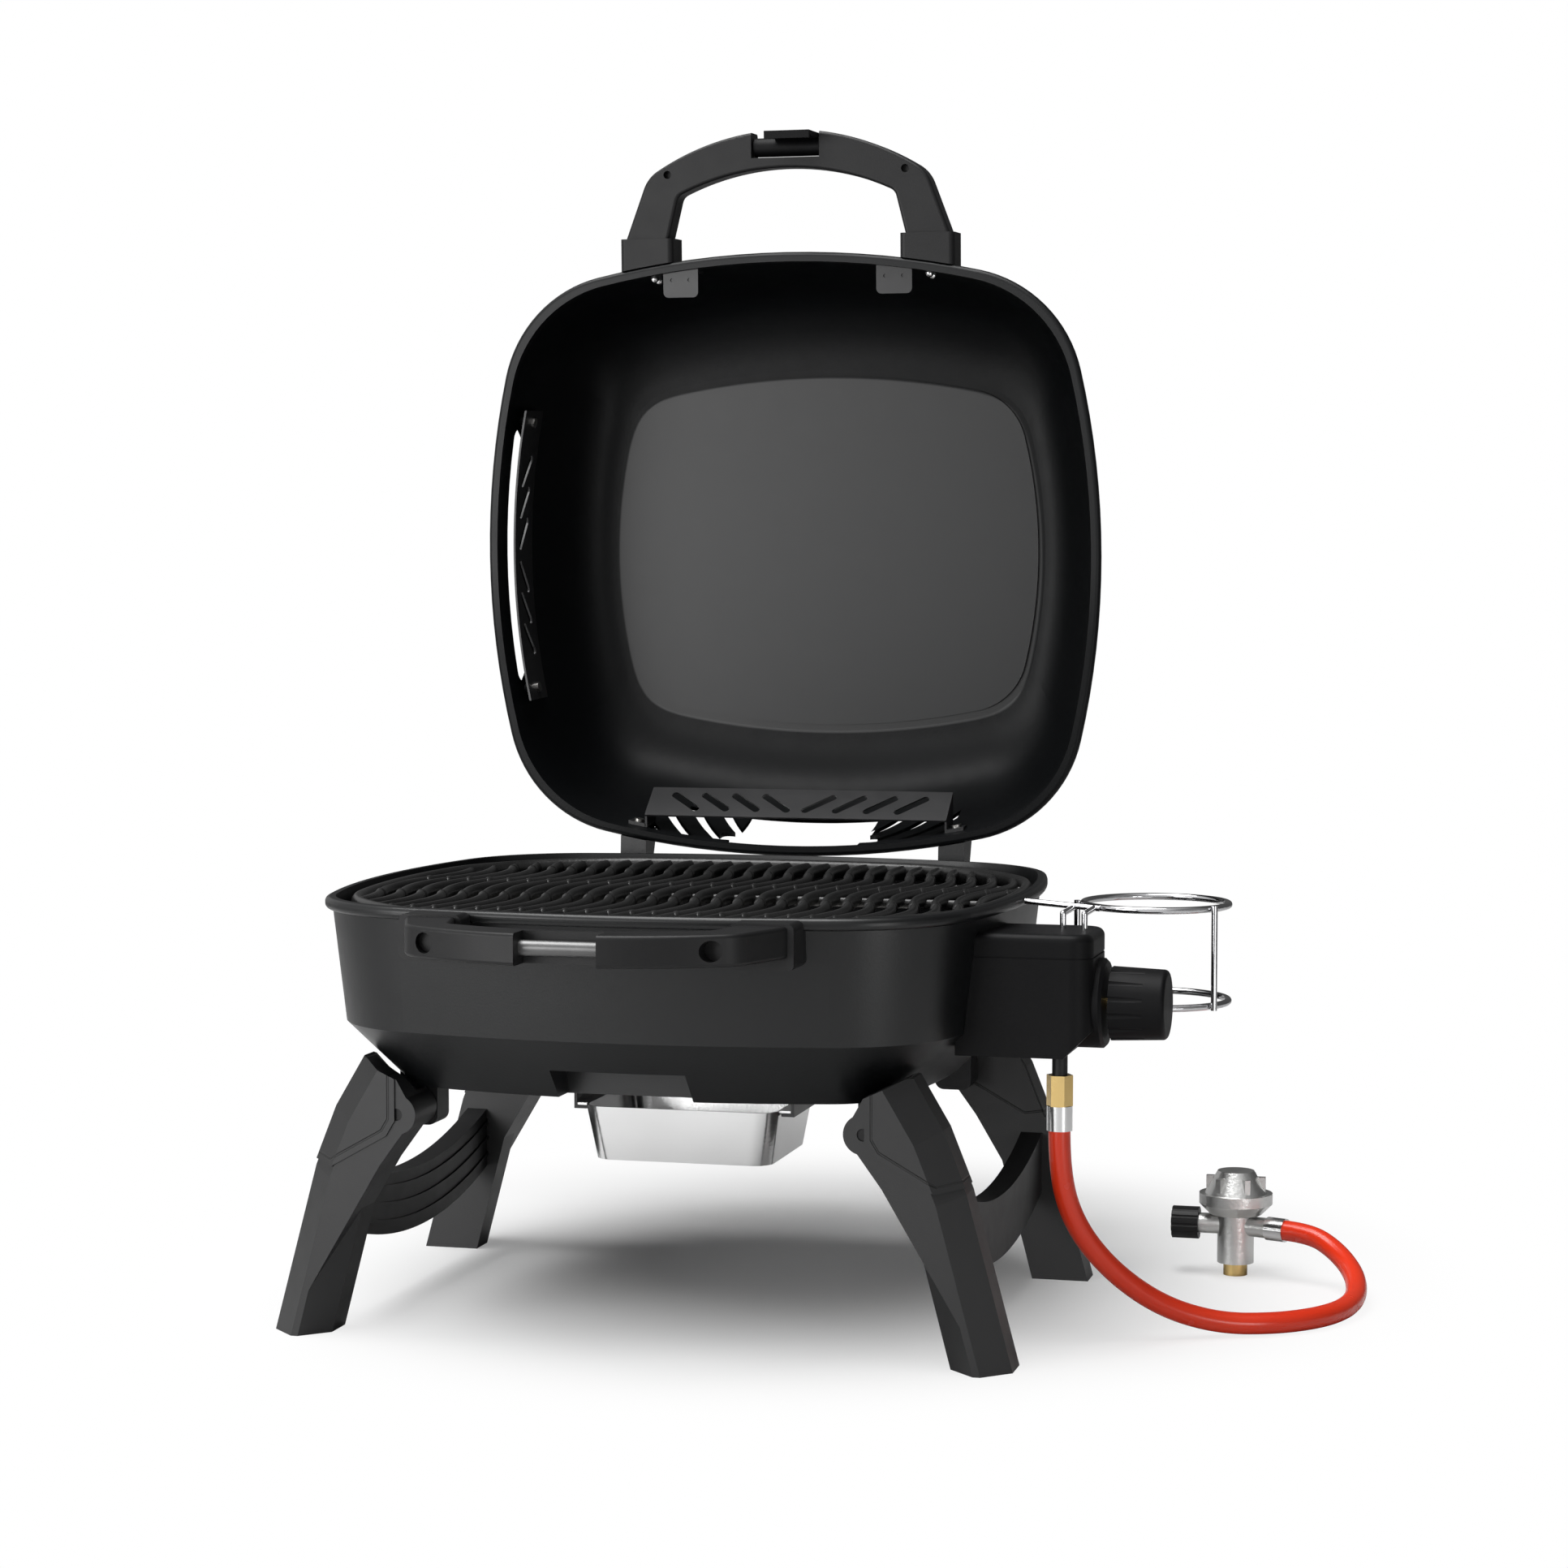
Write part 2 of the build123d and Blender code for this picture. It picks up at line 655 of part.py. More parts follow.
def latch():
    """Barrel and hook in the notch of the lid handle, hanging clear in front of the rod it catches."""
    x, y, z = latch_axis()
    barrel = rod((-LATCH_L / 2, y, z), (LATCH_L / 2, y, z), LATCH_R)
    arm_y = y - LATCH_DEPTH + LATCH_FRONT
    rod_bottom = FRONT_HANDLE_Z + LOOP_T / 2 - ROD_R
    toe_z = rod_bottom - TOE_GAP - LATCH_T
    low = (Align.MAX, Align.MIN, Align.MIN)
    arm = Pos(0, arm_y, toe_z) * Box(LATCH_W, LATCH_T, z - toe_z, align=low)
    toe = Pos(0, arm_y, toe_z) * Box(LATCH_W, LATCH_T + LATCH_TOE, LATCH_T, align=low)
    hook = Pos(LATCH_L / 2, 0, 0) * (arm + toe)
    return barrel + hook - rod((-LATCH_L, y, z), (LATCH_L, y, z), PIN_R + FIT)


def latch_pin():
    """Pin that the latch turns on, held in the two sides of the notch."""
    x, y, z = latch_axis()
    reach = NOTCH_W / 2 + LOOP_T / 2
    return rod((-reach, y, z), (reach, y, z), PIN_R)


def lid_clip(x):
    """Folded plate inside the front of the lid: a pad on the wall and a tongue across the mouth."""
    front = LIP + LID_WALL - LID_D / 2
    drawn_in = bow(LID_W, LID_D, x)
    low = (Align.CENTER, Align.MIN, Align.MIN)
    pad = Box(CLIP_W, CLIP_T + drawn_in, CLIP_PAD, align=low)
    tongue = Box(CLIP_W, CLIP_TONGUE + drawn_in, CLIP_T, align=low)
    free = tongue.edges().filter_by(Axis.Z).sort_by(Axis.Y)[-2:]
    clip = Pos(x, front, LID_Z + LIP) * (pad + fillet(free, 2 * CLIP_T))
    for side in (-1, 1):
        y = front + drawn_in + CLIP_PAD / 2
        clip -= Pos(x + side * CLIP_W / 4, y, LID_Z + LIP) * Cylinder(CLIP_DOT_R, CLIP_T)
    return clip & dome(LID_WALL)


def hinge_bracket(x):
    """Two cheeks on the back of the firebox that carry a hinge pin."""
    y, z = HINGE_Y, HINGE_Z
    foot = RIM_D / 2 - 3 * LIP - bow(RIM_W, RIM_D, HINGE_X)
    arm = Polygon(
        (y - EYE_R, z), (y - EYE_R, z - 3), (foot, z - 4), (foot, z - 5 * EYE_R), (y + EYE_R, z), align=None
    )
    side = (Pos(y, z) * Circle(EYE_R)) + arm
    plane = Plane(origin=(0, 0, 0), x_dir=(0, 1, 0), z_dir=(1, 0, 0))
    cheek = plane * extrude(side, CHEEK_T)
    inner = LEAF_W / 2 + SIDE_GAP
    pair = Pos(x + inner, 0, 0) * cheek + Pos(x - inner - CHEEK_T, 0, 0) * cheek
    back = Box(2 * inner, 5 * LIP, 2 * EYE_R, align=(Align.CENTER, Align.MIN, Align.MIN))
    pair += Pos(x, foot, z - 4 * EYE_R) * back
    return pair - bowl(0, PAN_Z, RIM_Z) - box_rim() - rod((x - LEAF_W, y, z), (x + LEAF_W, y, z), PIN_R)


def hinge_leaf(x):
    """The lid's half of a hinge: an eye between the cheeks and a foot on the lid's back wall."""
    y, z = HINGE_Y, HINGE_Z
    foot = LID_D / 2 - 2 * LIP - bow(LID_W, LID_D, HINGE_X)
    arm = Polygon(
        (y - EYE_R, z), (y + EYE_R, z), (y + EYE_R - 2, LID_Z + 2 * EYE_R),
        (foot, LID_Z + 4 * EYE_R), (foot, LID_Z + 2), (y - EYE_R, LID_Z), align=None
    )
    side = (Pos(y, z) * Circle(EYE_R)) + arm
    plane = Plane(origin=(x - LEAF_W / 2, 0, 0), x_dir=(0, 1, 0), z_dir=(1, 0, 0))
    leaf = plane * extrude(side, LEAF_W)
    return leaf - dome(0) - lid_rim() - rod((x - LEAF_W, y, z), (x + LEAF_W, y, z), PIN_R + FIT)


def hinge_pin(x):
    """Pin of one lid hinge."""
    reach = LEAF_W / 2 + SIDE_GAP + CHEEK_T
    return rod((x - reach, HINGE_Y, HINGE_Z), (x + reach, HINGE_Y, HINGE_Z), PIN_R)


def box_block(inset):
    """The control box as a block, or the room inside it when inset by the wall."""
    reach = BOX_X - inset
    block = Box(
        reach - RIM_W / 2 + 30, BOX_D - 2 * inset, BOX_TOP - BOX_BOTTOM - 2 * inset,
        align=(Align.MAX, Align.CENTER, Align.MIN)
    )
    block = Pos(reach, BOX_Y, BOX_BOTTOM + inset) * block
    outer_face = block.faces().sort_by(Axis.X)[-1]
    low_edge = outer_face.edges().sort_by(Axis.Z)[0]
    block = chamfer(low_edge, BOX_CHAMFER - (2 - sqrt(2)) * inset)
    upright = block.faces().sort_by(Axis.X)[-1].edges().filter_by(Axis.Z)
    block = fillet(upright, BOX_EDGE - inset)
    top = block.faces().sort_by(Axis.Z)[-1]
    return fillet(top.edges().filter_by(lambda e: e.center().X > RIM_W / 2), BOX_TOP_R)


def control_box():
    """Moulded housing on the firebox's right wall, open towards it, for the valve."""
    line = Pos(BOX_X, BOX_Y, BOX_TOP - BOX_LINE_DROP) * Box(BOX_X, 2 * BOX_D, BOX_LINE_H)
    line &= box_block(0) - box_block(BOX_LINE_D)
    body = box_block(0) - line - box_block(BOX_WALL) - bowl(0, PAN_Z, RIM_Z)
    body -= rod((VALVE_X, KNOB_Y, KNOB_Z), (BOX_X + 1, KNOB_Y, KNOB_Z), STEM_R + 1)
    return body - rod((STUB_X, STUB_Y, NUT_TOP), (STUB_X, STUB_Y, KNOB_Z), STUB_R)


def knob_collar():
    """Round collar between the box and the knob, scribed to the box's rounded corner."""
    ring = along(BOX_X, COLLAR_R, COLLAR_T)
    ring = chamfer(ring.edges().group_by(Axis.X)[-1], COLLAR_EDGE)
    ring += along(BOX_X - BOX_EDGE, COLLAR_R, BOX_EDGE) - box_block(0)
    return ring - along(BOX_X - BOX_EDGE, STEM_R + 1, BOX_EDGE + 2 * COLLAR_T)


def valve_plane(x):
    """Plane across the valve's axis at x."""
    return Plane(origin=(x, KNOB_Y, KNOB_Z), z_dir=(1, 0, 0))


def along(x, radius, length):
    """A round bar on the valve's axis."""
    return valve_plane(x) * Cylinder(radius, length, align=(Align.CENTER, Align.CENTER, Align.MIN))


def gas_valve():
    """Valve body on the inside of the box's face, with its jet, rotor room and stem bore."""
    body = along(VALVE_X, VALVE_R, BOX_X - BOX_WALL - VALVE_X)
    body -= along(ROTOR_X - 1, ROTOR_R + FIT, ROTOR_L + 2)
    body -= along(ROTOR_X, STEM_R + FIT, BOX_X - ROTOR_X)
    jet = along(VALVE_X - JET_GAP + 1, STEM_R, JET_GAP)
    return body + jet


def valve_rotor():
    """Turning plug inside the valve, with the bore that the stem slides in."""
    rotor = along(ROTOR_X, ROTOR_R, ROTOR_L)
    return rotor - along(ROTOR_X + 2, STEM_R + FIT, ROTOR_L)


def valve_stem():
    """Stem from the rotor out into the knob."""
    start = ROTOR_X + 3 + KNOB_PUSH
    return along(start, STEM_R, BOX_X + COLLAR_T + KNOB_PUSH + KNOB_L * 0.6 - start)


def control_knob():
    """Slightly tapered knob with flutes from its back to a smooth cap, pushed in and turned."""
    back = BOX_X + COLLAR_T + KNOB_PUSH + 0.3
    knob = Cone(KNOB_R, KNOB_R - KNOB_TAPER, KNOB_L, align=(Align.CENTER, Align.CENTER, Align.MIN))
    knob = fillet(knob.edges().group_by(Axis.Z)[-1], KNOB_EDGE)
    flute = Pos(KNOB_R + 1, 0, -1) * Cylinder(2.2, KNOB_FLUTE_L + 1, align=(Align.CENTER, Align.CENTER, Align.MIN))
    knob -= PolarLocations(0, KNOB_FLUTES) * flute
    knob = valve_plane(back) * knob
    return knob - along(back - 1, STEM_R, KNOB_L * 0.6 + 0.7)


def gas_inlet():
    """Black stub from the valve down through the floor of the box."""
    stub = rod((STUB_X, STUB_Y, NUT_TOP), (STUB_X, STUB_Y, KNOB_Z), STUB_R)
    return stub - along(VALVE_X, VALVE_R, BOX_X - VALVE_X)


def inlet_nut():
    """Brass union nut of the hose."""
    nut = Pos(STUB_X, STUB_Y, NUT_TOP - NUT_H) * extrude(RegularPolygon(NUT_AF / 2, 6, major_radius=False), NUT_H)
    return nut


def ferrule(start, end):
    """Crimped steel ferrule on a hose end."""
    return rod(start, end, FERRULE_R)


def gas_hose():
    """Rubber hose: straight runs with the largest tangent arcs that they leave room for."""
    points = [Vector(*p) for p in HOSE_ROUTE]
    runs = [b - a for a, b in zip(points, points[1:])]
    radii = []
    for before, after in zip(runs, runs[1:]):
        turn = radians(before.get_angle(after))
        radii.append(0.45 * min(before.length, after.length) / tan(turn / 2))
    print("hose radii", [round(r) for r in radii])
    path = FilletPolyline(*HOSE_ROUTE, radius=radii)
    start = Plane(origin=path @ 0, z_dir=path % 0)
    return sweep(start * Circle(HOSE_R), path=path)


def reg_port(distance):
    """A point on the axis of the regulator's outlet."""
    return tuple(Vector(REG_X, REG_Y, REG_PORT_Z) + PORT_DIR * distance)


def regulator_body():
    """Die-cast regulator: neck, diaphragm flange, inlet on the left and outlet on the right."""
    neck = rod((REG_X, REG_Y, REG_FOOT_H), (REG_X, REG_Y, REG_BODY_Z), REG_NECK_R)
    flange = rod((REG_X, REG_Y, REG_BODY_Z), (REG_X, REG_Y, REG_BODY_Z + REG_BODY_H), REG_BODY_R)
    flange = chamfer(flange.edges().group_by(Axis.Z)[0], REG_BODY_H / 2)
    outlet = rod(reg_port(0), reg_port(REG_PORT_L), HOSE_R)
    inlet = rod((REG_X, REG_Y, REG_PORT_Z), (REG_X - WHEEL_FROM, REG_Y, REG_PORT_Z), HOSE_R)
    return neck + flange + outlet + inlet


def regulator_cap():
    """Domed cap over the diaphragm, with a raised rib each way."""
    z = REG_BODY_Z + REG_BODY_H
    dome_part = Cone(REG_BODY_R - 4, REG_BODY_R / 2, REG_CAP_H, align=(Align.CENTER, Align.CENTER, Align.MIN))
    ribs = [
        Rot(0, 0, turn) * Box(2 * REG_BODY_R - 10, 4, REG_CAP_H - 4, align=(Align.CENTER, Align.CENTER, Align.MIN))
        for turn in (0, 60, 120)
    ]
    return Pos(REG_X, REG_Y, z) * (dome_part + ribs)


def regulator_foot():
    """Brass outlet thread that the regulator stands on here."""
    return rod((REG_X, REG_Y, 0), (REG_X, REG_Y, REG_FOOT_H), REG_FOOT_R)


def regulator_handwheel():
    """Black ribbed hand nut on the regulator's inlet."""
    wheel = Cylinder(WHEEL_R, WHEEL_L, align=(Align.CENTER, Align.CENTER, Align.MIN))
    wheel -= PolarLocations(WHEEL_R + 0.6, 12) * Cylinder(1.4, 3 * WHEEL_L)
    wheel = Plane(origin=(REG_X - WHEEL_FROM, REG_Y, REG_PORT_Z), z_dir=(-1, 0, 0)) * wheel
    return wheel


def wire_holder():
    """Bright wire holder: two rings, two uprights, a stay to the rim and two feet on the box."""
    rings = [Pos(RING_X, RING_Y, z) * Torus(RING_R, WIRE_R) for z in (RING_Z, RING_LOW_Z)]
    reach = RING_R + WIRE_R + STAY_R

    def beside(turn, z):
        return (RING_X + reach * cos(radians(turn)), RING_Y + reach * sin(radians(turn)), z)

    uprights = [
        rod(beside(turn, RING_LOW_Z - WIRE_R), beside(turn, RING_Z + WIRE_R), STAY_R) for turn in UPRIGHT_TURNS
    ]
    near = beside(STAY_TURN, RING_Z)
    frame = rod((RIM_W / 2 + 0.2, near[1] + 6, RIM_Z - LIP_H / 2), near, STAY_R)
    for back in (4, 18):
        x = near[0] - back
        y = BOX_Y + BOX_D / 2 - 2 * BOX_EDGE
        frame += rod((x, y, BOX_TOP), (x, y, RING_Z), STAY_R)
        frame += rod((x, y, RING_Z), (x, near[1] + back * 0.1, RING_Z), STAY_R)
        frame += Pos(x, y, RING_Z) * Sphere(STAY_R)
    return rings + uprights + [frame]


def tray_block(inset, top):
    """The drip tray as a block that narrows towards its floor."""
    lower = Pos(0, 0, TRAY_TOP - TRAY_H + inset) * RectangleRounded(
        TRAY_W - 12 - 2 * inset, TRAY_D - 12 - 2 * inset, TRAY_R - inset
    )
    upper = Pos(0, 0, top) * RectangleRounded(TRAY_W - 2 * inset, TRAY_D - 2 * inset, TRAY_R - inset)
    return Pos(0, TRAY_FRONT + TRAY_D / 2, 0) * loft([lower, upper])


def drip_tray():
    """Pressed tray with a runner flange along each side."""
    tray = tray_block(0, TRAY_TOP)
    flange = Box(TRAY_W + 2 * FLANGE, TRAY_D - 2 * TRAY_R, TRAY_WALL, align=(Align.CENTER, Align.CENTER, Align.MAX))
    tray += Pos(0, TRAY_FRONT + TRAY_D / 2, TRAY_TOP) * flange
    return tray - tray_block(TRAY_WALL, TRAY_TOP)


def tray_rail(side):
    """A runner under the pan that a tray flange slides in."""
    web_x = TRAY_W / 2 + FLANGE + RAIL_GAP
    low = TRAY_TOP - TRAY_WALL - RAIL_GAP - RAIL_T
    length = TRAY_D - 2 * TRAY_R
    y = TRAY_FRONT + TRAY_D / 2
    align = (Align.MIN, Align.CENTER, Align.MIN)
    web = Pos(web_x, y, low) * Box(RAIL_T, length, PAN_Z - low, align=align)
    lip_x = TRAY_W / 2 + RAIL_GAP
    lip = Pos(lip_x, y, low) * Box(web_x - lip_x, length, RAIL_T, align=align)
    rail = web + lip
    return rail if side > 0 else mirror(rail, Plane.YZ)


def leg_body(grow):
    """A leg as a bar with a knee and a chamfered outer corner, its outer faces raised by grow."""
    foot_in, foot_out = (LEG_FOOT_IN, 0), (LEG_FOOT_OUT + grow, 0)
    bend = [(x + grow, z) for x, z in (LEG_KNEE, LEG_SHOULDER)]
    points = [foot_out, *bend, LEG_TOP, (PIVOT_X, LEG_TOP[1] - PIVOT_R), (PIVOT_X - PIVOT_R, PIVOT_Z)]
    profile = make_face(Polyline(*points, *LEG_CROOK, foot_in, close=True))
    profile += Pos(PIVOT_X, PIVOT_Z) * Circle(PIVOT_R)
    plane = Plane(origin=(0, LEG_IN, 0), x_dir=(1, 0, 0), z_dir=(0, -1, 0))
    body = plane * extrude(profile, LEG_IN - LEG_OUT - grow)
    outside = body.faces().sort_by(Axis.Y)[-1]
    corner = [e for e in outside.edges() if e.center().X > LEG_TOP[0] + 1 and e.center().Z > 1]
    return chamfer(corner, LEG_CHAMFER)


def leg(side_x, side_y):
    """Moulded leg with a raised panel over its thigh and a boss round its pivot."""
    panel = Plane(origin=(0, 0, 0), x_dir=(1, 0, 0), z_dir=(0, -1, 0))
    panel *= extrude(Polygon(*LEG_PANEL, align=None), -2 * LEG_OUT)
    inside = Box(2 * RIM_W, 2 * (LEG_IN + PANEL_RISE), 2 * RIM_Z)
    body = leg_body(0) + (leg_body(PANEL_RISE) & panel) - (inside & panel - leg_body(0))
    body -= bowl(-PAN_CLEAR, PAN_Z - PAN_CLEAR, RIM_Z)
    body -= rod((PIVOT_X, LEG_IN - 1, PIVOT_Z), (PIVOT_X, LEG_OUT + 1, PIVOT_Z), LEG_PIN_R + FIT)
    if side_x < 0:
        body = mirror(body, Plane.YZ)
    return body if side_y > 0 else mirror(body, Plane.XZ)


def sagging(middle, height, thickness):
    """A band that sags between the legs, as a face in the Y-Z plane raised by a thickness."""
    half = height / 2
    end_z = BAR_END_Z + middle
    mid_z = BAR_MID_Z + middle
    low = ThreePointArc((-LEG_IN, end_z - half), (0, mid_z - half), (LEG_IN, end_z - half))
    high = ThreePointArc((-LEG_IN, end_z + half), (0, mid_z + half), (LEG_IN, end_z + half))
    ends = [Line(low @ 0, high @ 0), Line(low @ 1, high @ 1)]
    plane = Plane(origin=(0, 0, 0), x_dir=(0, 1, 0), z_dir=(1, 0, 0))
    return plane * extrude(make_face([low, high] + ends), thickness)


def crossbar(side):
    """Sagging rail that ties the legs of one frame, with three ridges along its inner face."""
    rail = Pos(BAR_X - BAR_T / 2, 0, 0) * sagging(0, BAR_H, BAR_T)
    for middle in (-BAR_RIDGE_PITCH, 0, BAR_RIDGE_PITCH):
        rail += Pos(BAR_X - BAR_T / 2 - BAR_RIDGE_T, 0, 0) * sagging(middle, BAR_RIDGE_H, 2 * BAR_RIDGE_T)
    return rail if side > 0 else mirror(rail, Plane.YZ)


def leg_lug(side_x, side_y):
    """Lug under the pan that holds a leg's pin."""
    align = (Align.CENTER, Align.MAX, Align.CENTER)
    lug = Pos(0, 0, 0) * Box(2 * PIVOT_R, LUG_T, 2 * PIVOT_R, align=align)
    lug = fillet(lug.edges().filter_by(Axis.Y).group_by(Axis.Z)[0], PIVOT_R / 2)
    lug = Pos(PIVOT_X, LEG_IN - LUG_GAP, PIVOT_Z) * lug
    top = Box(2 * PIVOT_R, LUG_T, PAN_Z - PIVOT_Z + LUG_REACH, align=(Align.CENTER, Align.MAX, Align.MIN))
    lug += Pos(PIVOT_X, LEG_IN - LUG_GAP, PIVOT_Z) * top
    lug -= bowl(0, PAN_Z, RIM_Z)
    lug -= rod((PIVOT_X, 0, PIVOT_Z), (PIVOT_X, LEG_OUT, PIVOT_Z), LEG_PIN_R)
    if side_x < 0:
        lug = mirror(lug, Plane.YZ)
    return lug if side_y > 0 else mirror(lug, Plane.XZ)


def leg_pin(side_x, side_y):
    """Pin through a lug and a leg."""
    inner = side_y * (LEG_IN - LUG_GAP - LUG_T)
    outer = side_y * (LEG_OUT - 1)
    return rod((side_x * PIVOT_X, inner, PIVOT_Z), (side_x * PIVOT_X, outer, PIVOT_Z), LEG_PIN_R)


CORNERS = [(-1, -1), (-1, 1), (1, -1), (1, 1)]
parts = {
    "firebox": firebox(),
    "cooking_grate": cooking_grate(),
    "burner_tube": burner_tube(),
    "heat_tent": heat_tent(),
    "lid": opened(lid()),
    "rear_vent_baffle": opened(rear_baffle()),
    "side_vent_baffle": opened(side_baffle()),
    "vent_screws": [opened(s) for s in vent_screws()],
    "lid_clips": [opened(s) for s in both(lid_clip, CLIP_X)],
    "lid_handle": opened(lid_handle()),
    "lid_handle_sockets": [opened(s) for s in sockets(LID_D / 2, LID_Z, dome(0), lid_rim())],
    "latch_hook": opened(latch()),
    "latch_pin": opened(latch_pin()),
    "front_handle": front_handle(),
    "front_handle_sockets": sockets(RIM_D / 2, RIM_Z - 1 - SOCKET_T, bowl(0, PAN_Z, RIM_Z), box_rim()),
    "catch_rod": bar_rod(RIM_D / 2, FRONT_HANDLE_Z),
    "left_hinge_bracket": hinge_bracket(-HINGE_X),
    "right_hinge_bracket": hinge_bracket(HINGE_X),
    "left_hinge_leaf": opened(hinge_leaf(-HINGE_X)),
    "right_hinge_leaf": opened(hinge_leaf(HINGE_X)),
    "hinge_pins": both(hinge_pin, HINGE_X),
    "control_box": control_box(),
    "knob_collar": knob_collar(),
    "gas_valve": gas_valve(),
    "valve_rotor": valve_rotor(),
    "valve_stem": valve_stem(),
    "control_knob": control_knob(),
    "gas_inlet": gas_inlet(),
    "wire_holder": wire_holder(),
    "drip_tray": drip_tray(),
    "tray_rails": [tray_rail(-1), tray_rail(1)],
    "left_front_leg": leg(-1, -1),
    "left_rear_leg": leg(-1, 1),
    "right_front_leg": leg(1, -1),
    "right_rear_leg": leg(1, 1),
    "left_crossbar": crossbar(-1),
    "right_crossbar": crossbar(1),
    "leg_lugs": [leg_lug(*corner) for corner in CORNERS],
    "leg_pins": [leg_pin(*corner) for corner in CORNERS],
}
HOSE_TOP = HOSE_ROUTE[0]
on_hose = {
    "inlet_nut": inlet_nut(),
    "upper_ferrule": ferrule((STUB_X, STUB_Y, NUT_TOP - NUT_H), HOSE_TOP),
    "gas_hose": gas_hose(),
    "lower_ferrule": ferrule(reg_port(REG_PORT_L), HOSE_ROUTE[-1]),
    "regulator_body": regulator_body(),
    "regulator_cap": regulator_cap(),
    "regulator_foot": regulator_foot(),
    "regulator_handwheel": regulator_handwheel(),
}


def joined(shape):
    """One compound from a piece or from a list of equal pieces."""
    return Compound(children=[Compound([s]) for s in shape]) if isinstance(shape, list) else shape


grill = Compound([joined(shape) for shape in parts.values()]).bounding_box()
ORIGIN = Pos(-(grill.min.X + grill.max.X) / 2, -(grill.min.Y + grill.max.Y) / 2, 0)

os.makedirs("parts", exist_ok=True)
for name, shape in (parts | on_hose).items():
    export_step(ORIGIN * joined(shape), f"parts/{name}.step")
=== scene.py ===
"""Portable gas grill with its lid open, its hose and regulator beside it, on a pale floor."""

import math

import bpy
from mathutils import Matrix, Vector


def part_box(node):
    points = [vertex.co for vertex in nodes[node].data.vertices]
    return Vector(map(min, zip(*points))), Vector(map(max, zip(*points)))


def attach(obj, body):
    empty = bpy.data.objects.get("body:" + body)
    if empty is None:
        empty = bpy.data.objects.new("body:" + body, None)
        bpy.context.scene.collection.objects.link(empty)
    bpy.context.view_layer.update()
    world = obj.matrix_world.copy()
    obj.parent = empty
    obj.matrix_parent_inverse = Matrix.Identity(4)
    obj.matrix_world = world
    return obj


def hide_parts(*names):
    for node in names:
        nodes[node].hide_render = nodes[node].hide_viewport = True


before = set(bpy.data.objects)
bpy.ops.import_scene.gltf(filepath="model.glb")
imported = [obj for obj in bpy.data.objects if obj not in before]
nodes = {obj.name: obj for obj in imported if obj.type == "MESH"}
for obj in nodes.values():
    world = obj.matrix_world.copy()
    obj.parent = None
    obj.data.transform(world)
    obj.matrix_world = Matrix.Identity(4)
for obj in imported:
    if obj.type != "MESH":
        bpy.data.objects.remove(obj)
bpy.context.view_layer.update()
bpy.ops.object.select_all(action="DESELECT")


# ---------------------------------------------------------------------------------------------
# Gas hose. Orange-red rubber hose of 14.4 mm, crimped to a ferrule at each end. It drops from the
# valve inlet, lies in one open bend on the floor and rises to the outlet of the regulator.

def spot(x, y, z):
    """A point of the scene, from millimetres off the middle of the firebox and above the floor."""
    low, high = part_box("firebox")
    middle = (low + high) / 2
    return Vector((middle.x + x / 1000, middle.y + y / 1000, z / 1000))


class Reading:
    """A shader output that takes part in sums and products by adding Math nodes."""

    def __init__(self, finish, socket):
        self.finish = finish
        self.socket = socket

    def maths(self, operation, *others):
        return self.finish.node("ShaderNodeMath", {"operation": operation}, self, *others)

    def __add__(self, other):
        return self.maths("ADD", other)

    def __sub__(self, other):
        return self.maths("SUBTRACT", other)

    def __mul__(self, other):
        return self.maths("MULTIPLY", other)

    def __rsub__(self, other):
        return self.finish.node("ShaderNodeMath", {"operation": "SUBTRACT"}, other, self)

    __radd__ = __add__


